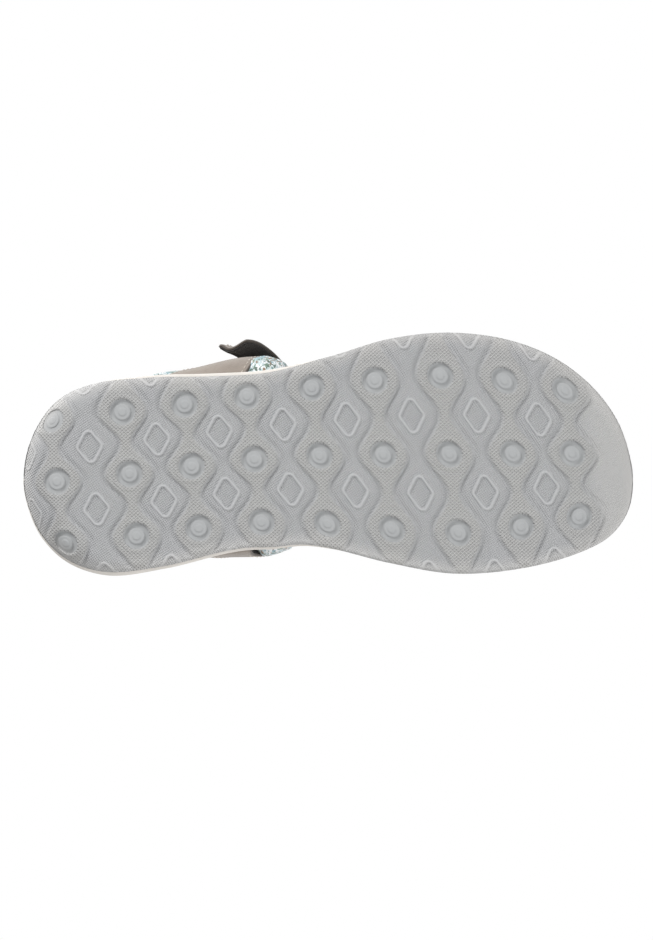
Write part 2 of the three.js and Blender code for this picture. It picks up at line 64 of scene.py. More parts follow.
GAP = 0.3
TOE_X = 131
OUTLINE = [
    (-131, 10), (-127.5, -7), (-117, -22.5), (-101, -30.3), (-76, -33.6), (-50, -34.4), (-25, -36),
    (0, -41.6), (26, -49.3), (52, -52), (78, -48.7), (98, -40.7), (114, -28), (125, -12.5), (130, 3),
    (131, 12), (129, 24), (121, 35), (106, 43), (84, 49), (54, 51.4), (26, 46.8), (2, 41),
    (-22, 38.6), (-44, 43), (-70, 49.5), (-95, 52), (-112, 46.5), (-123, 36), (-129, 23),
]  # fmt: skip
CUP_WALL, CUP_DEPTH = 2.5, 9
FOOTBED_RISE = 1.6  # its edge over the cup's rim
COVER, COVER_GAP = 1.2, 0.6
COVER_INSET = CUP_WALL + GAP
ROOT_INSET = 6.5
TOE_SPRING_FROM, TOE_SPRING_RISE = 60, 0.0022

FORM = [
    (-85, 6, 35, 128), (-65, 3.5, 37.2, 118), (-45, 1.2, 38, 104), (-28, 0.6, 38, 93), (-8, 0.6, 35, 81),
    (10, 0.5, 34.5, 72), (30, 0, 38, 62), (52, 0, 42, 53), (75, 1.5, 41, 46), (100, 6, 34, 41),
]  # fmt: skip
FORM_BELOW = 32
FORM_POWER = 2.2
HEEL_CENTRE, HEEL_RADIUS, HEEL_LEAN, HEEL_LEAN_FROM = -85, 35, 0.12, 60

INSTEP = SimpleNamespace(x=-50, slant=0.08, rake=0.6, half=15, tuck=0.07)
MIDDLE = SimpleNamespace(x=12, slant=0.1, rake=0.45, half=10.5, tuck=0.03)
FRONT = SimpleNamespace(x=53, slant=0.15, rake=0.3, half=15.5, tuck=0)
# The first four values are the CAD's, as shares of the strap's length. The others shape the visible edges:
# how far they are cut, flared and trimmed, in half widths, and how round the tab's end is.
INSTEP_CLOSURE = SimpleNamespace(
    hinge=0.4, flap_end=0.81, anchor_from=0.5, patch=(0.52, 0.66),
    cut=0.6, rounding=0.35, root_flare=0.62, inner_trim=0.5,
)  # fmt: skip
FRONT_CLOSURE = SimpleNamespace(
    hinge=0.33, flap_end=0.75, anchor_from=0.48, patch=(0.51, 0.65),
    cut=0.2, rounding=0.8, root_flare=0.0, inner_trim=0.0,
)  # fmt: skip

# The layers of the straps and of the sling: how far out from their surface each begins and ends.
LINING = (0.2, 0.9)
OUTER = (1.2, 2.5)
LOOP = (2.9, 3.6)
HOOK = (3.9, 4.6)
BACKING = (4.9, 5.85)
FLAP = (5.9, 7.2)
SLING_LINING = (0, 0.7)
SLING_OUTER = (3, 3.9)
FLAP_RISE = BACKING[0] - LINING[0]
STEP_UP, STEP_DOWN = (32.5, 37.5), (70, 82)  # the heights between which the strap lies over the sling

SLING = SimpleNamespace(
    outer_end=-17, inner_end=-15, bend=95, half=12, low=(42, 67), high=(66, 91), rise_from=25, level_run=6,
    foot_edge=(35, 39.5), foot_from=(11, 16), corner=7, corner_run=11, end_tuck=2, tuck_run=14,
)  # fmt: skip

# ---- dimensions of the visible detail -----------------------------------------------------------

CAMERA_DISTANCE = 1.3
VIEW_HEIGHT = 0.4003  # what the picture's long side spans at the ground
CAMERA_OFFSET = (-0.0006, 0.0069)  # the sandal sits a little right of and above the middle

TREAD_SKEW = 0.115
# Where the columns of pits cross the middle row. The first is behind the heel, and has no pits.
TREAD_COLUMN_X = np.array([-144.5, -115.5, -84.6, -58.1, -31.4, -3.6, 23.6, 51.7, 78.8, 104.4])
BAND_NECK, BAND_BULB = 1.5, 9.4  # half widths of a raised band, between its pits and at them
BAND_DEPTH = 1.6  # from a raised band down to the groove beside it
BAND_CREST, BAND_SLOPE = -0.3, 1.6  # where its side begins and ends, out from its edge
FIELD_SWELL, FIELD_SLOPE = 0.85, 3  # how far, over what run, the field comes up again from its grooves
PIT_RADIUS, PIT_DEPTH = 5.5, 1.5
PIT_LIP, PIT_LIP_OUT, PIT_LIP_WIDTH = 0.25, 1.2, 0.8  # the low lip round a pit
STUD_RADIUS, STUD_TOP = 3.5, 0.8
NIPPLE_RADIUS, NIPPLE_TOP = 1.7, 0.4
DIAMOND_HALF_LENGTH = 6.0
DIAMOND_WIDTH, DIAMOND_SHARE = 5.2, 0.083  # its half width, and what it gains as a share of the row spacing
DIAMOND_CORNER, DIAMOND_DEPTH = 2.9, 0.15
RIDGE_HEIGHT = 0.65
RIDGE_CREST, RIDGE_FOOT = 0.28, 0.85  # half widths
OUTER_ROW_SHIFT = 3.2  # the cut-off diamonds past the outer rows stand this much further out
TOE_FIELD = 14  # the run past the last pits over which painted light makes the tread's fields paler towards the toe
TREAD_RIM, TREAD_FADE = 7, 3  # widths of the rim that painted light makes paler, and of the rim where the relief fades out
TREAD_UNDER_TOP = 0.6  # the least thickness of the outsole's edge
TOE_GROWTH, TOE_GROWTH_FROM = 0.8, 90  # the toe's rubber stands out this much past the foam
WAIST_GROWTH, WAIST_X, WAIST_REACH = 2.4, -23.5, 11  # the foam swells out at the inner waist
WAIST_FLARE, HEEL_FLARE = 0.75, 0.9  # how far the midsole's side bulges

STITCH_LENGTH, STITCH_PITCH, STITCH_RADIUS = 2.1, 2.9, 0.27
STITCH_INSET, COVER_STITCH_INSET = 2.4, 6.7
SEAM_DEPTH, SEAM_WIDTH = 0.22, 0.55  # the pressed line under a row of stitches
BINDING_WIDTH, BINDING_INSET, BINDING_FOLD = 1.5, 0.6, 0.35
CROWN_RUN = 4  # how far in from a padded strap's edge its crown is full
COVER_TURN, COVER_TURN_RUN = 1.5, 2  # the footbed cover turns down at its edge

# How the straps and the sling lie on each other.
OVER_SLING = 3.1  # how far out the instep strap lies over the sling
SLING_PRESS = 1.3  # how far the strap presses the sling's padding down
PRESS_FRONT, PRESS_BACK = 3, (18, 24)  # behind the strap's front edge, and behind its middle
# back and front are places in front of the instep strap's middle, low and high are heights
HEEL_HUG = SimpleNamespace(depth=2.2, back=(-34.5, -22.5), front=(-18, 11), low=(33, 40), high=(52, 74))
STRAP_SETTLE, SETTLE_FADE = 0.7, (60, 85)  # the straps' inner halves lie closer in, up to these heights
SLING_FOOT, SLING_FOOT_RUN = 0.7, (0.31, 0.38)  # how much lower its feet reach, in half widths
SLING_TUCK = 2.6  # how far its lower edge turns in
SLING_BULGE = (1.9, 2.0)  # outer and inner side
BULGE_FROM = (-2.5, 0.5)  # in front of the instep strap's front edge
BULGE_END = ((-24, -15.5), (-19, -11))  # along X, outer and inner side

# The straps' edges. A run is a share of the flap's or the anchor's length where nothing else is said.
TRIM_HEIGHT = (33, 52)  # the heights over which the instep strap's inner half narrows
TRIM_RUN, TRIM_END = (0.04, 0.13), 0.3  # the same in shares of the whole strap, and where it widens again
CUT_RUN, BACK_CUT_RUN = (0, 0.75), (0.3, 1)
BACK_CUT = 0.5  # the back edge's cut, as a share of the front edge's
TAB_ROUND_FROM = 0.88
ANCHOR_ROUNDING, ANCHOR_ROUND_RUN, FLARE_RUN = 0.86, 0.16, (0.35, 0.85)
INSTEP_TAB_FROM, INSTEP_TAB_LIFT = 0.66, 1.0
INSTEP_TAB_WAVES = [(1.0, 0.25, 2.7), (0.34, 0.12, 2.6)]  # place and width, in tab widths, and height
INSTEP_TAB_WIDTH = 1.33  # in half widths of the strap
FRONT_TAB_FROM, FRONT_TAB_LIFT = 0.84, 2.2


# ---- curves and heights -------------------------------------------------------------------------


def along(rows):
    """A smooth value through (x, value) rows, held level past both ends. It takes a number or an array."""
    xs, values = np.array(rows, float).T
    slopes = np.gradient(values, xs)
    slopes[1:-1] = (values[2:] - values[:-2]) / (xs[2:] - xs[:-2])

    def at(x):
        x = np.clip(x, xs[0], xs[-1])
        i = np.clip(np.searchsorted(xs, x, side="right") - 1, 0, len(xs) - 2)
        width = xs[i + 1] - xs[i]
        t = (x - xs[i]) / width
        rest = 1 - t
        start = values[i] * (1 + 2 * t) * rest**2 + slopes[i] * width * t * rest**2
        end = values[i + 1] * t**2 * (3 - 2 * t) - slopes[i + 1] * width * t**2 * rest
        return start + end

    return at


def column(rows, k):
    return along([(row[0], row[k]) for row in rows])


def smoothstep(low, high, x):
    t = np.clip((np.asarray(x, float) - low) / (high - low), 0, 1)
    return t * t * (3 - 2 * t)


def fade(low, high, x):
    """1 up to low, then down to 0 at high."""
    return 1 - smoothstep(low, high, x)


def window(rise, fall, x):
    """1 between two slopes, given as their starts and ends, and 0 outside them."""
    return smoothstep(*rise, x) * fade(*fall, x)


def hump(x, centre, width):
    """A bell of height 1."""
    return np.exp(-(((x - centre) / width) ** 2))


def mix(a, b, t):
    return a + (b - a) * t


def nearest(places, x):
    """The place that is nearest to each x."""
    return places[np.abs(x[..., None] - places).argmin(axis=-1)]


def unit(vectors):
    return vectors / np.linalg.norm(vectors, axis=-1, keepdims=True)


outsole_top = along([(-131, 15), (-60, 14), (0, 11), (60, 9.5), (100, 12.5), (131, 19.5)])
rim_top = along([(-131, 35.5), (-90, 33), (-40, 31), (0, 27.5), (50, 23), (90, 24), (131, 31)])
row_spacing = along(
    [(-131, 26.8), (-32, 26.8), (22, 31.6), (52, 33.5), (80, 31), (106, 26.6), (131, 22)]
)
row_middle = along([(-131, 13.4), (-88, 9), (-32, 2.4), (0, 0.8), (131, -0.3)])
dish = along([(-131, 1), (-95, 5), (-50, 3.2), (0, 1.6), (70, 1.8), (131, 0.8)])
arch = along([(-75, 0), (-28, 4.2), (20, 0.6), (50, 0)])
edge_radius = along([(-131, 15), (-116, 14.5), (-96, 7), (-70, 3.5), (90, 3), (118, 5), (131, 6)])
form_middle = column(FORM, 1)
form_half = column(FORM, 2)
form_top = column(FORM, 3)
form_axis = along([(-85, 52), (-28, 50), (10, 42), (52, 34), (100, 31)])


def cup_floor(x):
    return rim_top(x) - CUP_DEPTH


def footbed_top(x, share):
    sunk = dish(x) * (1 - share**2)
    return rim_top(x) + FOOTBED_RISE - sunk + arch(x) * smoothstep(0.1, 1, share)


def spline(points, closed=False, steps=24):
    """A centripetal Catmull-Rom curve through points, as many samples."""
    points = np.asarray(points, float)
    if closed:
        padded = np.vstack([points[-1:], points, points[:2]])
    else:
        padded = np.vstack([2 * points[0] - points[1], points, 2 * points[-1] - points[-2]])
    t = np.linspace(0, 1, steps, endpoint=False)[:, None]
    pieces = []
    for p0, p1, p2, p3 in zip(padded, padded[1:], padded[2:], padded[3:]):
        d0, d1, d2 = (np.linalg.norm(b - a) ** 0.5 for a, b in ((p0, p1), (p1, p2), (p2, p3)))
        m1 = (p2 - p1) + d1 * ((p1 - p0) / d0 - (p2 - p0) / (d0 + d1))
        m2 = (p2 - p1) + d1 * ((p3 - p2) / d2 - (p3 - p1) / (d1 + d2))
        a = 2 * (p1 - p2) + m1 + m2
        b = -3 * (p1 - p2) - 2 * m1 - m2
        pieces.append(p1 + m1 * t + b * t**2 + a * t**3)
    if not closed:
        pieces.append(points[-1:])
    return np.vstack(pieces)


def resampled(points, count):
    """The same curve with its samples at equal distances."""
    lengths = np.linalg.norm(np.diff(points, axis=0), axis=1)
    run = np.concatenate([[0], np.cumsum(lengths)])
    places = np.linspace(0, run[-1], count)
    return np.stack([np.interp(places, run, points[:, k]) for k in range(points.shape[1])], axis=1)


# ---- the sole's outline -------------------------------------------------------------------------

OUTLINE_COUNT = 900


def outline_points():
    """The sole's outline as evenly spaced points, and the way in from each."""
    ring = spline(OUTLINE, closed=True)
    ring = resampled(np.vstack([ring, ring[:1]]), OUTLINE_COUNT + 1)[:-1]
    way = unit(np.roll(ring, -1, axis=0) - np.roll(ring, 1, axis=0))
    inward = np.stack([-way[:, 1], way[:, 0]], axis=1)
    grown = TOE_GROWTH * smoothstep(TOE_GROWTH_FROM, TOE_X, ring[:, 0])
    grown += WAIST_GROWTH * hump(ring[:, 0], WAIST_X, WAIST_REACH) * (ring[:, 1] > 0)
    return ring - inward * grown[:, None], inward


def tread_insets():
    """How far in the tread's edge is. The pale midsole shows past it at the waist and heel."""
    outer = along([(-110, 0.2), (-80, 1.0), (-30, 1.3), (-5, 0.3)])
    inner = along([(-131, 0.2), (-112, 1.0), (-90, 1.6), (-60, 1.5), (-25, 1.4), (10, 0.3)])
    x, y = RING[:, 0], RING[:, 1]
    return np.where(y < row_middle(x), outer(x), inner(x))


RING, RING_INWARD = outline_points()
TREAD_RING = RING + RING_INWARD * tread_insets()[:, None]


def ring_edges(x, ring):
    """A ring's outer and inner y at x."""
    back, front = ring[:, 0].argmin(), ring[:, 0].argmax()
    order = np.roll(np.arange(len(ring)), -back)
    turn = (front - back) % len(ring)
    outer, inner = ring[order[: turn + 1]], ring[order[turn:]][::-1]
    inner = np.vstack([ring[back], inner])
    return np.interp(x, outer[:, 0], outer[:, 1]), np.interp(x, inner[:, 0], inner[:, 1])


def sole_edges(x, inset):
    """The outline's outer and inner y at x, moved in by an inset."""
    return ring_edges(x, RING + RING_INWARD * inset)


def sole_grid(ring, lengthwise, crosswise, crowding=0.55):
    """x, y and share-across arrays over a ring, with finer steps near its edge."""
    back, front = ring[:, 0].min() + 0.05, ring[:, 0].max() - 0.05

    def eased(count):
        t = np.linspace(-1, 1, count)
        return mix(t, np.sin(t * math.pi / 2), crowding)

    x = mix(back, front, (eased(lengthwise) + 1) / 2)
    outer, inner = ring_edges(x, ring)
    share = np.tile(eased(crosswise), (lengthwise, 1))
    y = mix(outer[:, None], inner[:, None], (share + 1) / 2)
    return np.tile(x[:, None], (1, crosswise)), y, share


def nearest_edge(x, y, ring):
    """How far each point is from a ring, and the way in from its nearest edge."""
    distances, ways = [], []
    for row_x, row_y in zip(x, y):
        squares = (row_x[:, None] - ring[:, 0]) ** 2 + (row_y[:, None] - ring[:, 1]) ** 2
        nearest = squares.argmin(axis=1)
        distances.append(np.sqrt(squares.min(axis=1)))
        ways.append(RING_INWARD[nearest])
    return np.array(distances), np.array(ways)


# ---- the tread's relief -------------------------------------------------------------------------


def lattice(x, y):
    """Each point's place along the tread's middle row, its row, and how far the rows are apart there."""
    middle_x = x
    for _ in range(4):
        across = y - row_middle(middle_x)
        middle_x = x - TREAD_SKEW * across
    spacing = row_spacing(middle_x)
    return middle_x, across / spacing, spacing


def off_nearest_pit(middle_x, row_at, spacing):
    """How far each point is in front of its nearest pit, and to the inner side of it."""
    off_row = (row_at - np.clip(np.round(row_at), -1, 1)) * spacing
    return middle_x - nearest(TREAD_COLUMN_X[1:], middle_x), off_row


def rhombus_distance(x, y, half_x, half_y):
    """The distance from a rhombus: below 0 inside it."""
    x, y = np.abs(x), np.abs(y)
    share = ((half_x - 2 * x) * half_x - (half_y - 2 * y) * half_y) / (half_x**2 + half_y**2)
    share = np.clip(share, -1, 1)
    distance = np.hypot(x - half_x * (1 - share) / 2, y - half_y * (1 + share) / 2)
    return distance * np.sign(x * half_y + y * half_x - half_x * half_y)


def band_edge(middle_x, row_at, spacing):
    """How far each point is outside the nearest raised band, which swells at its pits."""
    off_column, off_row = off_nearest_pit(middle_x, row_at, spacing)
    half_spacing = spacing / 2 + OUTER_ROW_SHIFT * (np.abs(row_at) > 1)
    swell = (1 + np.cos(math.pi * np.clip(np.abs(off_row) / half_spacing, 0, 1))) / 2
    return np.abs(off_column) - mix(BAND_NECK, BAND_BULB, swell)


def pit_relief(middle_x, row_at, spacing):
    """A round pit with a stepped stud standing in it."""
    from_pit = np.hypot(*off_nearest_pit(middle_x, row_at, spacing))

    def disc(radius, soft=0.4):
        return fade(radius - soft, radius + soft, from_pit)

    pit = disc(PIT_RADIUS, 0.5)
    lip = PIT_LIP * hump(from_pit - PIT_RADIUS, PIT_LIP_OUT, PIT_LIP_WIDTH)
    stud = disc(STUD_RADIUS) * (PIT_DEPTH - STUD_TOP)
    nipple = disc(NIPPLE_RADIUS) * (STUD_TOP - NIPPLE_TOP)
    return pit * PIT_DEPTH - stud - nipple - lip, pit


def diamond_edge(middle_x, row_at, spacing):
    """How far each point is outside the nearest diamond, which sits between four pits."""
    x = middle_x - nearest((TREAD_COLUMN_X[:-1] + TREAD_COLUMN_X[1:]) / 2, middle_x)
    half_row = np.clip(np.floor(row_at) + 0.5, -1.5, 1.5)
    shift = OUTER_ROW_SHIFT * np.sign(half_row) * (np.abs(half_row) > 1)
    y = (row_at - half_row) * spacing - shift
    half_x = DIAMOND_HALF_LENGTH - DIAMOND_CORNER
    half_y = DIAMOND_WIDTH + DIAMOND_SHARE * spacing - DIAMOND_CORNER
    return rhombus_distance(x, y, half_x, half_y) - DIAMOND_CORNER


def tread_relief(x, y):
    """How far the tread stands back from its highest lands, and what each point is part of."""
    grid = lattice(x, y)
    outside = band_edge(*grid)
    field = smoothstep(BAND_CREST, BAND_SLOPE, outside)
    pit_depth, pit = pit_relief(*grid)
    outline = diamond_edge(*grid)
    ridge = fade(RIDGE_CREST, RIDGE_FOOT, np.abs(outline + RIDGE_FOOT))
    inside = fade(-2 * RIDGE_FOOT, -RIDGE_FOOT, outline)
    relief = BAND_DEPTH * field - FIELD_SWELL * smoothstep(BAND_SLOPE, BAND_SLOPE + FIELD_SLOPE, outside)
    relief += pit_depth + inside * DIAMOND_DEPTH - ridge * RIDGE_HEIGHT
    last = TREAD_COLUMN_X[-1]
    return relief, {
        "raised": (1 - field) * (1 - pit),
        "ridge": ridge,
        "pit": pit,
        "inside": inside,
        # the toe mask places painted light on the fields towards the toe
        "toe": smoothstep(last, last + TOE_FIELD, grid[0]) * field,
    }


def sole_underside(x, y):
    """The height of the sole's underside, and the tread's masks. Its pattern wraps up round the edge."""
    edge, inward = nearest_edge(x, y, TREAD_RING)
    radius = edge_radius(x)
    within = np.clip(radius - edge, 0, radius)
    wrap = radius * np.arcsin(within / radius) - within
    relief, masks = tread_relief(x - inward[..., 0] * wrap, y - inward[..., 1] * wrap)
    # the rim mask places painted light: paler rubber near the tread's edge
    masks["rim"] = fade(0, TREAD_RIM, edge)
    relief *= smoothstep(0, TREAD_FADE, edge)
    rounded = radius - np.sqrt(radius**2 - within**2)
    spring = TOE_SPRING_RISE * np.maximum(0, x - TOE_SPRING_FROM) ** 2
    return np.minimum(spring + rounded + relief, outsole_top(x) - TREAD_UNDER_TOP), masks


# ---- the foot's form and the straps' surfaces ---------------------------------------------------


def form_value(p):
    """Below 0 inside the foot's form, above 0 outside it."""
    x = p[..., 0] - HEEL_LEAN * np.maximum(0, p[..., 2] - HEEL_LEAN_FROM)
    behind = np.clip((HEEL_CENTRE - x) / HEEL_RADIUS, 0, 1)
    half = np.maximum(form_half(x) * np.sqrt(1 - behind**2), 0.01)
    axis = form_axis(x)
    reach = np.where(p[..., 2] > axis, form_top(x) - axis, FORM_BELOW)
    across = np.abs(p[..., 1] - form_middle(x)) / half
    return across**FORM_POWER + (np.abs(p[..., 2] - axis) / reach) ** FORM_POWER - 1


def meet_form(start, way):
    """The form's surface, met from inside."""
    near = np.zeros(start.shape[:-1])
    far = np.full(start.shape[:-1], 140.0)
    for _ in range(36):
        middle = (near + far) / 2
        inside = form_value(start + way * middle[..., None]) < 0
        near = np.where(inside, middle, near)
        far = np.where(inside, far, middle)
    return start + way * near[..., None]


class Ribbon:
    """A surface that a strap follows: shares 0 to 1 along it, and -1 to 1 across it or up to its REACH."""

    REACH = 1.8

    def __init__(self, points, half, outward=1):
        self.points = points
        self.half = half
        along_way = np.gradient(points, axis=0)
        across_way = np.gradient(points, axis=1)
        self.normals = unit(np.cross(along_way, across_way) * outward)
        middle = points[:, points.shape[1] // 2]
        self.length = np.linalg.norm(np.diff(middle, axis=0), axis=1).sum()

    def _read(self, grid, u, v):
        rows, columns = grid.shape[:2]
        a = np.clip(u, 0, 1) * (rows - 1)
        b = (np.clip(v / self.REACH, -1, 1) + 1) / 2 * (columns - 1)
        i = np.minimum(a.astype(int), rows - 2)
        j = np.minimum(b.astype(int), columns - 2)
        s, t = (a - i)[..., None], (b - j)[..., None]
        low = mix(grid[i, j], grid[i, j + 1], t)
        high = mix(grid[i + 1, j], grid[i + 1, j + 1], t)
        return mix(low, high, s)

    def at(self, u, v, out=0.0):
        """Points at a distance out from the surface."""
        u, v = np.broadcast_arrays(np.asarray(u, float), np.asarray(v, float))
        normal = self._read(self.normals, u, v)
        out = np.broadcast_to(np.asarray(out, float), u.shape)[..., None]
        return self._read(self.points, u, v) + normal * out

    def normal(self, u, v):
        u, v = np.broadcast_arrays(np.asarray(u, float), np.asarray(v, float))
        return unit(self._read(self.normals, u, v))


def crossing_ribbon(strap, rows=320, columns=45):
    """The surface of a strap that crosses the foot from its inner slot to its outer one."""
    across = np.linspace(-1, 1, columns) * strap.half * Ribbon.REACH
    turns = np.linspace(-strap.tuck, 1 + strap.tuck, 15)

    def root(side, height):
        x = strap.x + across
        for _ in range(3):
            x = strap.x + across + strap.slant * sole_edges(x, ROOT_INSET)[side]
        return np.stack([x, sole_edges(x, ROOT_INSET)[side], height(x)], axis=1)

    def over(turn):
        way = np.array([0, math.cos(math.pi * turn), math.sin(math.pi * turn)])
        point = np.stack([strap.x + across, 0 * across, 0 * across + 40], axis=1)
        for _ in range(4):
            rise = strap.rake * (point[:, 2] - rim_top(strap.x))
            x = strap.x + strap.slant * point[:, 1] + rise + across
            start = np.stack([x, form_middle(x), form_axis(x)], axis=1)
            point = meet_form(start, np.broadcast_to(way, start.shape))
        return point

    def low_root(x):
        return cup_floor(x) + GAP

    def high_root(x):
        return rim_top(x) + 2

    stops = [root(1, low_root), root(1, high_root)]
    stops += [over(turn) for turn in turns]
    stops += [root(0, high_root), root(0, low_root)]
    lines = [resampled(spline([stop[k] for stop in stops]), rows) for k in range(columns)]
    return Ribbon(np.stack(lines, axis=1), strap.half)


def sling_ribbon(rows=420, columns=45):
    """The surface of the heel sling, from its outer end round the heel to its inner end."""
    outer_run = SLING.outer_end - HEEL_CENTRE
    inner_run = SLING.inner_end - HEEL_CENTRE
    total = outer_run + SLING.bend + inner_run
    across = np.linspace(-1, 1, columns) * Ribbon.REACH
    s, v = np.meshgrid(np.linspace(0, total, rows), across, indexing="ij")
    from_end = np.minimum(s, total - s)
    rise = smoothstep(SLING.rise_from, total / 2 - SLING.level_run, from_end)
    foot = fade(*SLING.foot_from, from_end)
    corner = SLING.corner * fade(0, SLING.corner_run, from_end)
    foot_edge = np.where(s < total / 2, SLING.foot_edge[0], SLING.foot_edge[1])
    low = mix(mix(*SLING.low, rise), foot_edge, foot)
    high = mix(*SLING.high, rise) - corner
    z = mix(low, high, (v + 1) / 2)
    turn = (1.5 - np.clip((s - outer_run) / SLING.bend, 0, 1)) * math.pi
    x = HEEL_CENTRE + np.maximum(np.maximum(outer_run - s, s - outer_run - SLING.bend), 0)
    lean = HEEL_LEAN * np.maximum(0, z - HEEL_LEAN_FROM)
    way = np.stack([np.cos(turn), np.sin(turn), 0 * turn], axis=-1)
    start = np.stack([x + lean, form_middle(x), z], axis=-1)
    tuck = SLING.end_tuck * fade(0, SLING.tuck_run, from_end)
    points = meet_form(start, way) - way * tuck[..., None]
    return Ribbon(points, SLING.half, outward=-1)


# ---- mesh making --------------------------------------------------------------------------------


def mesh_object(name, points, faces, materials, smooth=True):
    """A mesh object from points, or a grid of them, in millimetres."""
    mesh = bpy.data.meshes.new(name)
    mesh.from_pydata((np.reshape(points, (-1, 3)) * MM).tolist(), [], faces)
    for material in materials:
        mesh.materials.append(material)
    mesh.polygons.foreach_set("use_smooth", [smooth] * len(mesh.polygons))
    mesh.update()
    piece = bpy.data.objects.new(name, mesh)
    bpy.context.scene.collection.objects.link(piece)
    return piece


def grid_faces(rows, columns, start=0, flip=False, wrap=False):
    """The quads of a grid of points, row after row. wrap joins its last column to its first."""
    i, j = np.meshgrid(np.arange(rows - 1), np.arange(columns if wrap else columns - 1), indexing="ij")
    next_j = (j + 1) % columns
    a, b = i * columns + j, i * columns + next_j
    c, d = b + columns, a + columns
    order = (a, d, c, b) if flip else (a, b, c, d)
    return (np.stack([part.ravel() for part in order], axis=1) + start).tolist()


def grid_border(rows, columns):
    """The indices of a grid's border points, once round."""
    border = [i * columns for i in range(rows)]
    border += [(rows - 1) * columns + j for j in range(1, columns)]
    border += [i * columns + columns - 1 for i in range(rows - 2, -1, -1)]
    return border + list(range(columns - 2, 0, -1))


def attribute(piece, name, values):
    layer = piece.data.attributes.new(name, "FLOAT", "POINT")
    layer.data.foreach_set("value", np.asarray(values, np.float32).ravel())


def joined(groups):
    """One list of points and one of faces from several."""
    points, faces, start = [], [], 0
    for group_points, group_faces in groups:
        points.append(group_points)
        faces += [[corner + start for corner in face] for face in group_faces]
        start += len(group_points)
    return np.vstack(points), faces


def eased_steps(count, crowding=0.7):
    """Steps from 0 to 1 that crowd towards both ends."""
    t = np.linspace(0, 1, count)
    return mix(t, (1 - np.cos(math.pi * t)) / 2, crowding)


def full_width(share):
    return -1 + 0 * share, 1 + 0 * share


def slab(
    name, ribbon, span, layer, materials,
    step=None, press=None, inset=0.0, edges=full_width, crown=0.0, seams=(),
):  # fmt: skip
    """A strap's layer: a closed slab with rounded edges and a pressed line under each row of stitches.

    edges gives the shares across the strap that its back and front edges are at, step how far out it lies,
    and press how far its outer face alone is pushed in.
    """
    start, end = span
    run = (end - start) * ribbon.length
    u = eased_steps(max(12, int(run / 1.6)))
    v = eased_steps(27, 0.8) * 2 - 1
    u, v = np.meshgrid(u, v, indexing="ij")
    share = mix(start, end, u)
    back, front = edges(share)
    back, front = back + inset / ribbon.half, front - inset / ribbon.half
    width = (front - back) * ribbon.half
    edge = np.minimum((1 - np.abs(v)) / 2 * width, np.minimum(u, 1 - u) * run)
    across = mix(back, front, (v + 1) / 2)
    radius = (layer[1] - layer[0]) / 2
    within = np.clip(radius - edge, 0, radius)
    rounding = (radius - np.sqrt(radius**2 - within**2)) * 0.97
    out = step(ribbon.at(share, across), share, across) if step else 0.0
    pressed = sum(SEAM_DEPTH * hump(edge, seam, SEAM_WIDTH) for seam in seams)
    swell = crown * np.clip(edge / CROWN_RUN, 0, 1) ** 0.5
    if press:
        swell = swell - press(ribbon.at(share, across))
    high = ribbon.at(share, across, layer[1] + out - rounding - pressed + swell)
    low = ribbon.at(share, across, layer[0] + out + rounding)
    rows, columns = u.shape
    points = np.vstack([high.reshape(-1, 3), low.reshape(-1, 3)])
    count = rows * columns
    faces = grid_faces(rows, columns) + grid_faces(rows, columns, start=count, flip=True)
    rim = grid_border(rows, columns)
    for a, b in zip(rim, rim[1:] + rim[:1]):
        faces.append([a, b, b + count, a + count])
    piece = mesh_object(name, points, faces, materials)
    # the distance in from the slab's edge, which the nubuck reads to paint shade along its edges
    attribute(piece, "edge", np.tile(edge.ravel(), 2))
    return piece


def stitch(way, normal, centre):
    """A short rounded thread of six rings of six points, which dips into the strap at both ends."""
    side = np.cross(way, normal)
    rings = []
    for t in np.linspace(-1, 1, 6):
        radius = STITCH_RADIUS * math.sqrt(max(0.05, 1 - t**4))
        middle = centre + way * (t * STITCH_LENGTH / 2) - normal * (STITCH_RADIUS * 0.9 * t**2)
        for turn in np.arange(6) * math.pi / 3:
            rings.append(middle + (side * math.cos(turn) + normal * math.sin(turn)) * radius)
    faces = grid_faces(6, 6, wrap=True)
    faces += [list(range(6)), list(range(35, 29, -1))]
    return np.array(rings), faces


def stitches(name, paths, material, body):
    """Rows of stitches. A path is an array of points with the surface's normals."""
    groups = []
    for points, normals in paths:
        run = np.concatenate([[0], np.cumsum(np.linalg.norm(np.diff(points, axis=0), axis=1))])
        count = max(1, int(run[-1] / STITCH_PITCH))
        places = (np.arange(count) + 0.5) * run[-1] / count

        def read(grid, where):
            return np.stack([np.interp(where, run, grid[:, k]) for k in range(3)], axis=1)

        ways = unit(read(points, places + 0.4) - read(points, places - 0.4))
        ups = unit(read(normals, places))
        groups += [stitch(*placed) for placed in zip(ways, ups, read(points, places))]
    points, faces = joined(groups)
    piece = mesh_object(name, points, faces, [material])
    if body:
        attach(piece, body)
    return piece


def seam_path(ribbon, span, side, inset, height, step=None, edges=full_width):
    """A line along a strap's face, an inset in from its back (-1) or front (1) edge."""
    share = np.linspace(*span, 160)
    across = edges(share)[(side + 1) // 2] - side * inset / ribbon.half
    out = step(ribbon.at(share, across), share, across) if step else 0
    return ribbon.at(share, across, height + out), ribbon.normal(share, across)


def tube(name, points, normals, half_width, half_height, material):
    """An oval tube along a line."""
    sides = 10
    side = unit(np.cross(unit(np.gradient(points, axis=0)), normals))
    rings = []
    for turn in np.arange(sides) * 2 * math.pi / sides:
        off_line = side * (half_width * math.cos(turn)) + normals * (half_height * math.sin(turn))
        rings.append(points + off_line)
    faces = grid_faces(len(points), sides, wrap=True)
    last = (len(points) - 1) * sides
    faces += [list(range(sides - 1, -1, -1)), list(range(last, last + sides))]
    return mesh_object(name, np.stack(rings, axis=1), faces, [material])


# ---- materials ----------------------------------------------------------------------------------


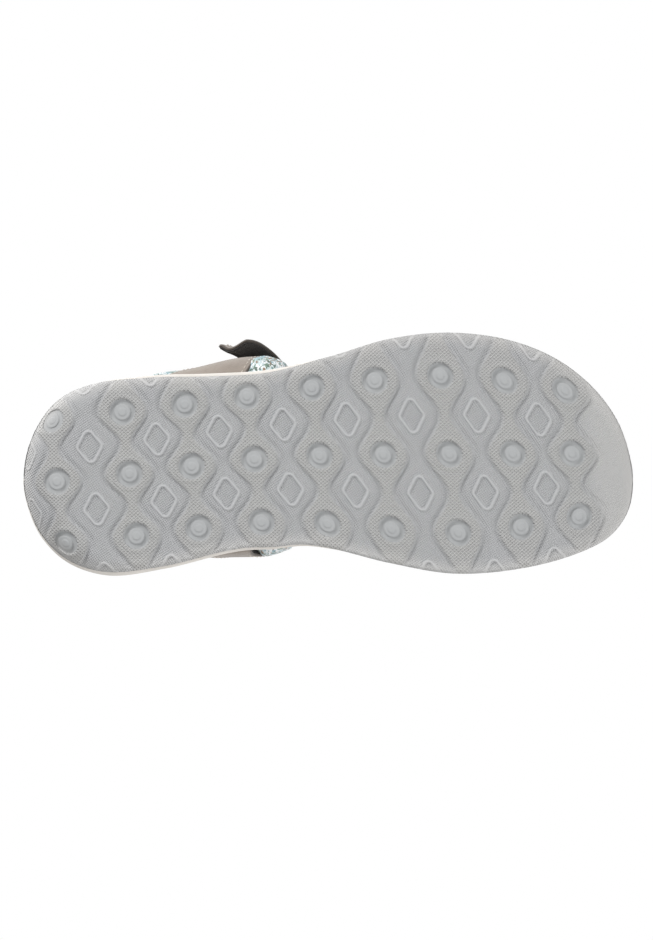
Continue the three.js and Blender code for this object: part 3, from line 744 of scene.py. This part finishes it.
def srgb(r, g, b):
    """An sRGB colour, 0 to 255, as the linear colour that Blender works in."""
    values = np.array([r, g, b]) / 255
    linear = np.where(values <= 0.04045, values / 12.92, ((values + 0.055) / 1.055) ** 2.4)
    return (*linear.tolist(), 1.0)


class Graph:
    """A material being built: its nodes, its shader, and short ways to add to them."""

    def __init__(self, name, roughness, sheen=0.0, metallic=0.0, specular=0.5):
        self.material = bpy.data.materials.new(name)
        self.material.use_nodes = True
        self.tree = self.material.node_tree
        self.shader = self.tree.nodes["Principled BSDF"]
        self.shader.inputs["Roughness"].default_value = roughness
        self.shader.inputs["Metallic"].default_value = metallic
        self.shader.inputs["Sheen Weight"].default_value = sheen
        self.shader.inputs["Sheen Roughness"].default_value = 0.5
        self.shader.inputs["Specular IOR Level"].default_value = specular
        self.place = self.tree.nodes.new("ShaderNodeTexCoord").outputs["Object"]

    def node(self, kind, inputs=(), **settings):
        made = self.tree.nodes.new(kind)
        for key, value in settings.items():
            setattr(made, key, value)
        for key, value in dict(inputs).items():
            self.put(value, made.inputs[key])
        return made

    def put(self, value, socket):
        if isinstance(value, bpy.types.NodeSocket):
            self.tree.links.new(value, socket)
        else:
            socket.default_value = value

    def math(self, operation, a, b=0.0):
        made = self.node("ShaderNodeMath", operation=operation)
        self.put(a, made.inputs[0])
        self.put(b, made.inputs[1])
        return made.outputs[0]

    def noise(self, millimetres, detail=2.0, roughness=0.5, distortion=0.0, stretch=(1, 1, 1)):
        inputs = {
            "Scale": 1000 / millimetres,
            "Detail": detail,
            "Roughness": roughness,
            "Distortion": distortion,
        }
        made = self.node("ShaderNodeTexNoise", inputs)
        scaled = self.node("ShaderNodeVectorMath", {0: self.place, 1: stretch}, operation="MULTIPLY")
        self.put(scaled.outputs[0], made.inputs["Vector"])
        return made.outputs["Fac"]

    def cells(self, millimetres, randomness=1.0):
        inputs = {"Scale": 1000 / millimetres, "Randomness": randomness, "Vector": self.place}
        return self.node("ShaderNodeTexVoronoi", inputs).outputs["Distance"]

    def ripple(self, direction, millimetres):
        """A sine along a direction, from -1 to 1."""
        dot = self.node("ShaderNodeVectorMath", {0: self.place, 1: direction}, operation="DOT_PRODUCT")
        return self.math("SINE", self.math("MULTIPLY", dot.outputs["Value"], 2000 * math.pi / millimetres))

    def ramp(self, value, low, high):
        made = self.node("ShaderNodeMapRange", {"Value": value, "From Min": low, "From Max": high})
        return made.outputs["Result"]

    def blend(self, share, a, b):
        made = self.node("ShaderNodeMix", data_type="RGBA")
        self.put(share, made.inputs["Factor"])
        self.put(a, made.inputs[6])
        self.put(b, made.inputs[7])
        return made.outputs[2]

    def tint(self, colour, mask, share, shade):
        """A colour, with a share of a shade where the mask is."""
        return self.blend(self.math("MULTIPLY", mask, share), colour, srgb(*shade))

    def read(self, name):
        return self.node("ShaderNodeAttribute", attribute_name=name).outputs["Fac"]

    def bump(self, height, millimetres, under=None):
        made = self.node("ShaderNodeBump", {"Height": height, "Distance": millimetres * MM})
        if under is not None:
            self.put(under, made.inputs["Normal"])
        return made.outputs["Normal"]

    def finish(self, colour=None, roughness=None, normal=None):
        values = {"Base Color": colour, "Roughness": roughness, "Normal": normal}
        for name, value in values.items():
            if value is not None:
                self.put(value, self.shader.inputs[name])
        return self.material


def tread_rubber():
    """Grey moulded rubber: cross-hatched on the raised bands, finely pebbled in the fields between."""
    g = Graph("tread_rubber", 0.72, specular=0.32)
    raised, ridge, pit = g.read("raised"), g.read("ridge"), g.read("pit")
    hatch = g.math("MAXIMUM", g.ripple((0.66, 0.75, 0), 1.12), g.ripple((0.66, -0.75, 0), 1.12))
    hatch = g.math("MULTIPLY", hatch, raised)
    plain = g.math("SUBTRACT", 1.0, g.math("MAXIMUM", g.math("MAXIMUM", raised, ridge), pit))
    dots = g.math("MULTIPLY", g.ripple((0.97, 0.2, 0), 1.25), g.ripple((-0.2, 0.97, 0), 1.25))
    texture = g.math("ADD", hatch, g.math("MULTIPLY", dots, plain))
    mottle = g.noise(11, 3)
    grain = g.noise(0.7, 2)
    tints = [
        (raised, 0.9, (163, 163, 162)),
        # painted shade: the pits are tinted darker than the rubber round them
        (pit, 0.9, (157, 159, 160)),
        # painted highlight: the diamonds' raised ridges are tinted paler
        (ridge, 0.15, (194, 193, 191)),
        # painted shade: the diamonds' sunk insides are tinted darker
        (g.read("inside"), 0.2, (158, 160, 162)),
        (g.ramp(texture, 0.1, 1.0), 0.3, (203, 201, 198)),
        (g.ramp(mottle, 0.35, 0.9), 0.6, (172, 173, 173)),
        # painted light: the fields towards the toe are tinted paler
        (g.read("toe"), 0.6, (190, 189, 187)),
        # painted light: the rubber is tinted paler near the sole's edge
        (g.read("rim"), 0.45, (206, 204, 201)),
    ]
    colour = srgb(168, 169, 171)
    for mask, share, shade in tints:
        colour = g.tint(colour, mask, share, shade)
    normal = g.bump(texture, 0.24)
    normal = g.bump(grain, 0.05, under=normal)
    return g.finish(colour, g.math("ADD", 0.66, g.math("MULTIPLY", mottle, 0.16)), normal)


def midsole_foam():
    """Pale foamed sidewall with a faint pebble and mottle."""
    g = Graph("midsole_foam", 0.7, specular=0.3)
    mottle = g.noise(14, 3)
    colour = g.blend(g.ramp(mottle, 0.3, 0.8), srgb(228, 223, 217), srgb(216, 211, 204))
    normal = g.bump(g.noise(0.9, 3), 0.12)
    return g.finish(colour, g.math("ADD", 0.62, g.math("MULTIPLY", mottle, 0.18)), normal)


def nubuck():
    """Taupe nubuck: a soft nap that lies light and dark in patches, a fine grain, and painted shade at its
    edges.
    """
    g = Graph("nubuck", 0.88, sheen=0.25, specular=0.2)
    nap = g.noise(16, 4, 0.6, 0.6)
    fibre = g.noise(0.5, 3, 0.7, stretch=(1, 0.45, 1))
    colour = g.blend(g.ramp(nap, 0.3, 0.75), srgb(138, 129, 121), srgb(160, 151, 142))
    colour = g.tint(colour, fibre, 0.28, (142, 130, 119))
    # painted shade: the nubuck darkens within about a millimetre of its rounded edges
    colour = g.tint(colour, g.ramp(g.read("edge"), 1.2, 0.5), 0.85, (84, 78, 74))
    normal = g.bump(fibre, 0.16)
    normal = g.bump(g.cells(1.3), 0.07, under=normal)
    return g.finish(colour, None, normal)


def print_textile():
    """A printed knit: leaf-like patches of white, pale blue, green and brown over a fine weave."""
    g = Graph("print_textile", 0.7, sheen=0.15, specular=0.3)
    colour = srgb(205, 219, 222)
    patches = [
        (9.0, 2.2, 0.52, 0.55, srgb(160, 190, 200)),
        (7.5, 2.6, 0.54, 0.565, srgb(112, 140, 122)),
        (6.5, 2.0, 0.56, 0.585, srgb(240, 244, 246)),
        (8.0, 3.0, 0.59, 0.61, srgb(150, 124, 102)),
        (5.5, 2.4, 0.62, 0.64, srgb(92, 112, 102)),
        (5.0, 1.8, 0.60, 0.62, srgb(244, 246, 247)),
    ]
    for number, (size, distortion, low, high, patch) in enumerate(patches):
        stretch = (1.0 + 0.13 * number, 0.8 + 0.07 * number, 1.15 - 0.09 * number)
        mask = g.ramp(g.noise(size, 2, 0.5, distortion, stretch), low, high)
        colour = g.blend(mask, colour, patch)
    weave = g.math("MULTIPLY", g.ripple((0.8, 0.1, 0.6), 0.9), g.ripple((-0.55, 0.3, 0.78), 0.9))
    colour = g.tint(colour, g.ramp(weave, -1, 1), 0.14, (90, 100, 100))
    normal = g.bump(weave, 0.14)
    return g.finish(colour, None, normal)


def woven(name, dark, light, pitch, roughness, height):
    """A plain weave of two near shades."""
    g = Graph(name, roughness, sheen=0.2, specular=0.25)
    weave = g.math("MULTIPLY", g.ripple((0.75, 0.2, 0.63), pitch), g.ripple((-0.6, 0.35, 0.72), pitch))
    cloud = g.noise(8, 3)
    colour = g.blend(g.ramp(weave, -1, 1), dark, light)
    colour = g.blend(g.math("MULTIPLY", cloud, 0.3), colour, dark)
    return g.finish(colour, None, g.bump(weave, height))


def hook_tape():
    """Black hook-and-loop tape: rows of tiny hooks."""
    g = Graph("hook_and_loop", 0.75, sheen=0.2, specular=0.3)
    hooks = g.cells(1.1, 0.25)
    colour = g.blend(g.ramp(hooks, 0.1, 0.6), srgb(66, 62, 62), srgb(26, 24, 25))
    return g.finish(colour, None, g.bump(g.math("SUBTRACT", 1.0, hooks), 0.5))


def microfibre():
    """The footbed's suede-like cover, printed with fine dots over a patchy nap."""
    g = Graph("microfibre", 0.93, sheen=0.3, specular=0.15)
    dots = g.cells(2.6, 0.0)
    nap = g.noise(22, 4, 0.6, 0.4)
    colour = g.blend(g.ramp(nap, 0.3, 0.75), srgb(112, 101, 92), srgb(134, 123, 112))
    colour = g.tint(colour, g.ramp(dots, 0.3, 0.18), 0.5, (84, 75, 69))
    normal = g.bump(g.noise(0.45, 2, 0.7), 0.12)
    normal = g.bump(g.ramp(dots, 0.16, 0.3), 0.22, under=normal)
    return g.finish(colour, None, normal)


def thread():
    """Twisted sewing thread."""
    g = Graph("thread", 0.6, sheen=0.2, specular=0.4)
    twist = g.ripple((0.6, 0.6, 0.5), 0.45)
    colour = g.blend(g.ramp(twist, -1, 1), srgb(176, 166, 154), srgb(214, 205, 194))
    return g.finish(colour, None, g.bump(twist, 0.05))


def plain_foam(name, dark, light, pore):
    """Cut foam or board with its open grain."""
    g = Graph(name, 0.9, specular=0.2)
    pores = g.cells(pore)
    colour = g.blend(g.ramp(pores, 0.1, 0.7), dark, light)
    return g.finish(colour, None, g.bump(pores, 0.2))


def brushed_steel():
    g = Graph("shank_steel", 0.35, metallic=1.0)
    lines = g.noise(2, 3, stretch=(0.05, 1, 1))
    colour = g.blend(lines, srgb(140, 143, 148), srgb(176, 178, 182))
    return g.finish(colour, g.math("ADD", 0.28, g.math("MULTIPLY", lines, 0.2)), g.bump(lines, 0.03))


def make_materials():
    return SimpleNamespace(
        tread=tread_rubber(),
        midsole=midsole_foam(),
        nubuck=nubuck(),
        print=print_textile(),
        lining=woven("lining", srgb(38, 36, 36), srgb(62, 59, 58), 0.8, 0.9, 0.12),
        binding=woven("binding", srgb(42, 40, 40), srgb(74, 70, 68), 0.7, 0.7, 0.16),
        hook=hook_tape(),
        microfibre=microfibre(),
        thread=thread(),
        foam=plain_foam("footbed_foam", srgb(104, 94, 86), srgb(126, 116, 106), 0.8),
        board=plain_foam("board", srgb(120, 98, 74), srgb(166, 144, 116), 0.6),
        gel=plain_foam("gel", srgb(96, 130, 136), srgb(140, 172, 178), 1.6),
        steel=brushed_steel(),
    )


# ---- the sole's pieces --------------------------------------------------------------------------


def build_outsole(materials):
    """The tread, its rounded edge, and a lid that closes it under the midsole."""
    x, y, _ = sole_grid(TREAD_RING, 800, 300, crowding=0.25)
    z, masks = sole_underside(x, y)
    rows, columns = x.shape
    under = np.stack([x, y, z], axis=-1)
    lid = np.stack([x, y, np.maximum(outsole_top(x), z + 0.2)], axis=-1)
    points, faces = under.reshape(-1, 3), grid_faces(rows, columns, flip=True)
    piece_under = mesh_object("outsole_tread", points, faces, [materials.tread])
    for name, values in masks.items():
        attribute(piece_under, name, values)
    rim = grid_border(rows, columns)
    edges = np.vstack([points[rim], lid.reshape(-1, 3)[rim]])
    wall = mesh_object("outsole_wall", edges, grid_faces(2, len(rim), wrap=True), [materials.tread])
    coarse = lid[::10, ::10]
    faces = grid_faces(*coarse.shape[:2])
    top = mesh_object("outsole_lid", coarse, faces, [materials.tread])
    for part in (wall, top):
        for name in masks:
            attribute(part, name, np.zeros(len(part.data.vertices)))
        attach(part, "sandal")
    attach(piece_under, "sandal")
    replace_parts(piece_under, "outsole")


# The midsole's side in section: how far in from the outline, and how far up from the outsole.
MIDSOLE_SIDE = [
    (2.2, 0.0), (0.7, 0.02), (0.1, 0.08), (0.35, 0.2), (1.0, 0.38), (1.15, 0.5), (0.9, 0.63),
    (0.2, 0.8), (0.0, 0.88), (0.25, 0.95), (0.9, 0.995), (1.6, 1.0), (2.2, 0.97), (2.45, 0.9), (2.5, 0.7),
]  # fmt: skip


def build_midsole(materials):
    """The cup's sculpted side and rolled rim, swept round the outline."""
    side = spline(MIDSOLE_SIDE, steps=4)
    x, y = RING[:, 0], RING[:, 1]
    low, high = outsole_top(x) + 0.1, rim_top(x)
    waist = window((-95, -70), (-15, 5), x) * (y < 0)
    heel = smoothstep(-70, -95, x) * (y > 10)
    flare = WAIST_FLARE * waist + HEEL_FLARE * heel
    rings = []
    for inset, up in side:
        out = inset - flare * math.sin(math.pi * min(up, 1)) ** 0.5
        ring = RING + RING_INWARD * out[:, None]
        rings.append(np.column_stack([ring, mix(low, high, up)]))
    faces = grid_faces(len(side), OUTLINE_COUNT, wrap=True)
    piece = mesh_object("midsole_cup", rings, faces, [materials.midsole])
    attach(piece, "sandal")
    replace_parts(piece, "midsole")


def cover_height(ring):
    """How high the footbed's cover is at each point of a ring near its edge."""
    outer, inner = sole_edges(ring[:, 0], COVER_INSET)
    across = np.clip((ring[:, 1] - outer) / (inner - outer) * 2 - 1, -1, 1)
    return footbed_top(ring[:, 0], across) + COVER_GAP + COVER


def build_footbed(materials):
    """The contoured cover with its turned-down edge, and a row of stitches round it."""
    rim = RING + RING_INWARD * COVER_INSET
    x, y, share = sole_grid(rim, 220, 90)
    edge, _ = nearest_edge(x, y, rim)
    z = footbed_top(x, share) + COVER_GAP + COVER - COVER_TURN * fade(0, COVER_TURN_RUN, edge)
    points = np.stack([x, y, z], axis=-1)
    piece = mesh_object("footbed_cover_top", points, grid_faces(*x.shape), [materials.microfibre])
    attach(piece, "sandal")
    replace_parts(piece, "footbed_cover")
    outer, inner = sole_edges(rim[:, 0], COVER_INSET)
    inner_side = np.where(np.abs(rim[:, 1] - inner) < np.abs(rim[:, 1] - outer), 1.0, -1.0)
    top = footbed_top(rim[:, 0], inner_side) + COVER_GAP + COVER - 1.4
    skirt = np.vstack([np.column_stack([rim, rim_top(rim[:, 0]) - 3]), np.column_stack([rim, top])])
    faces = grid_faces(2, OUTLINE_COUNT, wrap=True)
    wall = mesh_object("footbed_cover_side", skirt, faces, [materials.microfibre])
    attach(wall, "sandal")
    ring = RING + RING_INWARD * COVER_STITCH_INSET
    line = np.column_stack([ring, cover_height(ring) + 0.1])
    up = np.tile([0.0, 0.0, 1.0], (len(line), 1))
    stitched = stitches("footbed_cover_stitches", [(line, up)], materials.thread, "sandal")


# ---- the straps' pieces -------------------------------------------------------------------------


def before_strap(strap, point):
    """How far each point is in front of the middle of a strap that leans forward as it rises."""
    x, y, z = np.moveaxis(point, -1, 0)
    return x - strap.x - strap.slant * y - strap.rake * (z - rim_top(strap.x))


def heel_hug(point):
    """The outer side of the instep strap and of the sling behind it lie closer in than the CAD's form."""
    length = window(HEEL_HUG.back, HEEL_HUG.front, before_strap(INSTEP, point))
    height = window(HEEL_HUG.low, HEEL_HUG.high, point[..., 2])
    return HEEL_HUG.depth * length * height * (point[..., 1] < 0)


# A step says how far out a strap lies at each point, at its shares along and across.


def no_step(point, share=None, across=None):
    return 0 * point[..., 2]


def over_sling(point, share=None, across=None):
    return OVER_SLING * window(STEP_UP, STEP_DOWN, point[..., 2]) - heel_hug(point)


def instep_rise(point, share=None, across=None):
    return FLAP_RISE * smoothstep(*STEP_UP, point[..., 2])


def front_rise(point, share=None, across=None):
    base = rim_top(FRONT.x)
    return FLAP_RISE * smoothstep(base + 3, base + 22, point[..., 2])


def flap_share(closure, share):
    """How far along a closure's flap each point is: 0 at its hinge, 1 at its tab's end."""
    return np.clip((share - closure.hinge) / (closure.flap_end - closure.hinge), 0, 1)


def flap_edges(closure):
    """A closing strap's edges: the inner half trimmed in front, the flap cut back, and its tab rounded."""

    def edges(share):
        u = flap_share(closure, share)
        tab = np.clip((u - TAB_ROUND_FROM) / (1 - TAB_ROUND_FROM), 0, 1)
        trimmed = closure.inner_trim * window(TRIM_RUN, (TRIM_END, closure.hinge), share)
        front_cut = closure.cut * smoothstep(*CUT_RUN, u) + trimmed
        back_cut = closure.cut * BACK_CUT * smoothstep(*BACK_CUT_RUN, u)
        middle = (back_cut - front_cut) / 2
        reach = (1 - (back_cut + front_cut) / 2) * np.sqrt(1 - closure.rounding * tab**2)
        return middle - reach, middle + reach

    return edges


def anchor_edges(closure):
    """An anchor's edges: rounded at its free end, and flared back towards the heel at its root."""

    def edges(share):
        u = np.clip((share - closure.anchor_from) / (1 - closure.anchor_from), 0, 1)
        end = np.clip((ANCHOR_ROUND_RUN - u) / ANCHOR_ROUND_RUN, 0, 1)
        reach = np.sqrt(1 - ANCHOR_ROUNDING * end**2)
        return -reach - closure.root_flare * smoothstep(*FLARE_RUN, u), reach

    return edges


def strap_front(point):
    """How far in front of its middle the instep strap's front edge is: cut back on the inner side."""
    trimmed = smoothstep(*TRIM_HEIGHT, point[..., 2]) * (point[..., 1] > 0)
    return INSTEP.half * (1 - INSTEP_CLOSURE.inner_trim * trimmed)


def instep_tab(point, share, across):
    """The instep flap climbs over the sling, and its tab stands off in a wave with a curled back tip."""
    w = (across + 1) / INSTEP_TAB_WIDTH
    wave = sum(height * hump(w, place, width) for place, width, height in INSTEP_TAB_WAVES)
    lifted = smoothstep(INSTEP_TAB_FROM, 1, flap_share(INSTEP_CLOSURE, share))
    return (INSTEP_TAB_LIFT + wave) * lifted + over_sling(point)


def front_tab(point, share, across):
    return FRONT_TAB_LIFT * smoothstep(FRONT_TAB_FROM, 1, flap_share(FRONT_CLOSURE, share))


def whole_step(closure, inner_step, tab_step):
    """How far out a closing strap's face lies: its fixed inner half, then its flap."""

    def step(point, share, across):
        inner = inner_step(point) - FLAP_RISE - STRAP_SETTLE * fade(*SETTLE_FADE, point[..., 2])
        return np.where(share > closure.hinge, tab_step(point, share, across), inner)

    return step


def build_flap(name, ribbon, closure, step, materials):
    """A closing strap's face, stitches and backing, which run from the sandal past the hinge to the flap's
    end.
    """
    end = closure.flap_end
    edges = flap_edges(closure)
    face = slab(
        f"{name}_strap_face", ribbon, (0, end), FLAP, [materials.nubuck],
        step=step, edges=edges, seams=(STITCH_INSET,),
    )  # fmt: skip
    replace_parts(face, f"{name}_strap_inner", f"{name}_flap")
    span = (0.12, end - 0.02)
    paths = [seam_path(ribbon, span, side, STITCH_INSET, FLAP[1], step, edges) for side in (-1, 1)]
    sewn = stitches(f"{name}_strap_stitches", paths, materials.thread, None)
    under = slab(
        f"{name}_strap_under", ribbon, (0, end), BACKING, [materials.lining],
        step=step, inset=0.5, edges=edges,
    )  # fmt: skip
    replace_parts(under, f"{name}_strap_inner_lining", f"{name}_flap_backing")
    hinge = ribbon.at(closure.hinge, 0.0, FLAP[1]) * MM
    for piece in (face, sewn, under):
        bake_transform(piece)


def build_anchor(name, ribbon, closure, step, body, materials):
    """The outer anchor that the flap closes onto, with its lining, its stitches and both tapes."""
    root = (closure.anchor_from, 1)
    flared = anchor_edges(closure)
    nubuck = (materials.nubuck, "nubuck")
    lined = (materials.lining, "lining")
    taped = (materials.hook, "hook_and_loop")
    layers = [
        ("anchor_face", "anchor", root, OUTER, flared, 0.0, nubuck, "sandal"),
        ("anchor_under", "anchor_lining", root, LINING, flared, 0.8, lined, "sandal"),
        ("loop_tape", "loop_patch", closure.patch, LOOP, full_width, 2.2, taped, "sandal"),
        ("hook_tape", "hook_patch", closure.patch, HOOK, flap_edges(closure), 2.2, taped, body),
    ]
    for label, node, span, layer, edges, inset, (material, slot), rider in layers:
        part = slab(
            f"{name}_{label}", ribbon, span, layer, [material], step=step, inset=inset, edges=edges,
        )  # fmt: skip
        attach(part, rider)
        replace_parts(part, f"{name}_{node}")
    span = (closure.anchor_from + 0.1, 0.93)
    paths = [seam_path(ribbon, span, side, STITCH_INSET, OUTER[1], step, flared) for side in (-1, 1)]
    sewn = stitches(f"{name}_anchor_stitches", paths, materials.thread, "sandal")


def build_closing_strap(name, strap, closure, inner_step, anchor_step, tab_step, body, materials):
    """A strap that closes with hook and loop."""
    ribbon = crossing_ribbon(strap)
    step = whole_step(closure, inner_step, tab_step)
    build_flap(name, ribbon, closure, step, materials)
    build_anchor(name, ribbon, closure, anchor_step, body, materials)


def build_middle_strap(materials):
    ribbon = crossing_ribbon(MIDDLE)
    face = slab(
        "middle_strap_face", ribbon, (0, 1), OUTER, [materials.print], inset=0.5, crown=0.5,
    )  # fmt: skip
    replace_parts(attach(face, "sandal"), "middle_strap")
    lining = slab("middle_strap_under", ribbon, (0, 1), LINING, [materials.lining], inset=0.8)
    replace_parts(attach(lining, "sandal"), "middle_strap_lining")
    bind_edges("middle_strap", ribbon, (0, 1), OUTER, materials)


def bind_edges(name, ribbon, span, layer, materials, step=None, edges=full_width):
    """Dark binding folded over both long edges of a strap."""
    middle = (layer[0] + layer[1]) / 2
    for label, side in (("back", -1), ("front", 1)):
        points, normals = seam_path(ribbon, span, side, BINDING_INSET, middle, step, edges)
        half_height = (layer[1] - layer[0]) / 2 + BINDING_FOLD
        piece = tube(
            f"{name}_binding_{label}", points, normals, BINDING_WIDTH / 2, half_height, materials.binding
        )
        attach(piece, "sandal")


def sling_bulge(point, share, across):
    """Where the sling is free, in front of the instep strap, it tucks under itself and swells out above."""
    free = smoothstep(*BULGE_FROM, before_strap(INSTEP, point) - strap_front(point))
    raised = smoothstep(-1 - SLING_FOOT, -1, across)
    outer, inner = (bulge * fade(*end, point[..., 0]) for bulge, end in zip(SLING_BULGE, BULGE_END))
    swell = np.where(point[..., 1] < 0, outer, inner)
    return mix(-SLING_TUCK, free * swell, raised) - heel_hug(point)


def sling_edges(share):
    """The sling widens downwards under the instep strap, and its feet reach down into the sole."""
    return -1 - SLING_FOOT * smoothstep(*SLING_FOOT_RUN, np.abs(share - 0.5)), 1 + 0 * share


def sling_press(point):
    """How far the instep strap presses the sling's face in."""
    before = before_strap(INSTEP, point)
    under = fade(-PRESS_FRONT, 0, before - strap_front(point)) * fade(*PRESS_BACK, -before)
    return SLING_PRESS * under


def build_sling(materials):
    """The padded heel sling: printed outside, dark lining, bound edges and a pressed seam line."""
    ribbon = sling_ribbon()
    outer = slab(
        "heel_sling_face", ribbon, (0, 1), (0.9, SLING_OUTER[1]), [materials.print],
        step=sling_bulge, press=sling_press, edges=sling_edges, crown=0.7, inset=0.4, seams=(2.6,),
    )  # fmt: skip
    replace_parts(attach(outer, "sandal"), "heel_sling_outer", "heel_sling_padding")
    lining = slab(
        "heel_sling_under", ribbon, (0, 1), SLING_LINING, [materials.lining],
        step=sling_bulge, edges=sling_edges, inset=0.4,
    )  # fmt: skip
    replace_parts(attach(lining, "sandal"), "heel_sling_lining")
    bind_edges("heel_sling", ribbon, (0, 1), (0.3, 3.6), materials, sling_bulge, sling_edges)


def dress_cad(frame, materials):
    """The carried-over CAD nodes get their finishes."""
    finishes = {
        "shank": materials.steel,
        "insole_board": materials.board,
        "footbed": materials.foam,
        "heel_cushion": materials.gel,
    }
    for node, material in finishes.items():
        mesh = frame["nodes"][node].data
        mesh.materials.clear()
        mesh.materials.append(material)


# ---- the studio ---------------------------------------------------------------------------------


def build_camera():
    """A camera on the floor's far side, looking straight up at the tread with the toe to the right."""
    data = bpy.data.cameras.new("camera")
    data.sensor_width = 36
    data.lens = data.sensor_width * CAMERA_DISTANCE / VIEW_HEIGHT
    camera = bpy.data.objects.new("camera", data)
    camera.location = (*CAMERA_OFFSET, -CAMERA_DISTANCE)
    camera.rotation_euler = (math.pi, 0, 0)
    bpy.context.scene.collection.objects.link(camera)
    bpy.context.scene.camera = camera


def area_light(name, place, size, watts):
    data = bpy.data.lights.new(name, "AREA")
    data.shape = "DISK"
    data.size = size
    data.energy = watts
    light = bpy.data.objects.new(name, data)
    light.location = place
    light.rotation_euler = (-Vector(place)).to_track_quat("-Z", "Y").to_euler()
    bpy.context.scene.collection.objects.link(light)


def build_world():
    """Even white light, and a white backdrop for whatever the camera sees past the sandal."""
    world = bpy.data.worlds.new("studio")
    bpy.context.scene.world = world
    world.use_nodes = True
    tree = world.node_tree
    lit = tree.nodes["Background"]
    lit.inputs["Color"].default_value = (1, 1, 1, 1)
    lit.inputs["Strength"].default_value = 0.56
    seen = tree.nodes.new("ShaderNodeBackground")
    seen.inputs["Color"].default_value = (1, 1, 1, 1)
    path = tree.nodes.new("ShaderNodeLightPath")
    choice = tree.nodes.new("ShaderNodeMixShader")
    tree.links.new(path.outputs["Is Camera Ray"], choice.inputs[0])
    tree.links.new(lit.outputs[0], choice.inputs[1])
    tree.links.new(seen.outputs[0], choice.inputs[2])
    tree.links.new(choice.outputs[0], tree.nodes["World Output"].inputs[0])


def build_floor():
    """A pale floor that fades into the backdrop. It is seen from above only, and so hides no tread."""
    g = Graph("floor", 0.9, specular=0.1)
    g.finish(g.blend(g.noise(300, 2), srgb(238, 238, 238), srgb(243, 243, 242)))
    clear = g.node("ShaderNodeBsdfTransparent")
    facing = g.node("ShaderNodeNewGeometry")
    distance = g.node("ShaderNodeVectorMath", {0: g.place}, operation="LENGTH").outputs["Value"]
    hidden = g.math("MAXIMUM", facing.outputs["Backfacing"], g.ramp(distance, 0.45, 1.5))
    choice = g.node("ShaderNodeMixShader")
    g.put(hidden, choice.inputs[0])
    g.put(g.shader.outputs[0], choice.inputs[1])
    g.put(clear.outputs[0], choice.inputs[2])
    g.put(choice.outputs[0], g.tree.nodes["Material Output"].inputs["Surface"])
    half = 2500
    corners = [(-half, -half, -0.05), (half, -half, -0.05), (half, half, -0.05), (-half, half, -0.05)]
    floor = mesh_object("floor", corners, [(0, 1, 2, 3)], [g.material], smooth=False)
    floor.visible_shadow = False
    floor.visible_diffuse = False
    floor.visible_glossy = False
    floor.visible_transmission = False


def build_studio():
    build_camera()
    build_world()
    build_floor()
    area_light("key_below", (-0.75, -0.95, -0.75), 0.6, 16)
    area_light("fill_below", (0.5, 0.6, -1.2), 1.2, 3)
    area_light("toe_below", (1.3, 0.45, -0.75), 0.9, 11)
    area_light("key_above", (-0.7, -0.9, 1.1), 0.9, 14)
    area_light("fill_above", (0.9, 0.7, 1.0), 1.2, 7)
    bpy.context.scene.view_settings.view_transform = "Standard"


def main():
    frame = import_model()
    materials = make_materials()
    dress_cad(frame, materials)
    build_studio()
    build_outsole(materials)
    build_midsole(materials)
    build_footbed(materials)
    build_sling(materials)
    build_middle_strap(materials)
    build_closing_strap(
        "instep", INSTEP, INSTEP_CLOSURE, instep_rise, over_sling, instep_tab, "instep_flap", materials
    )
    build_closing_strap(
        "front", FRONT, FRONT_CLOSURE, front_rise, no_step, front_tab, "front_flap", materials
    )


main()
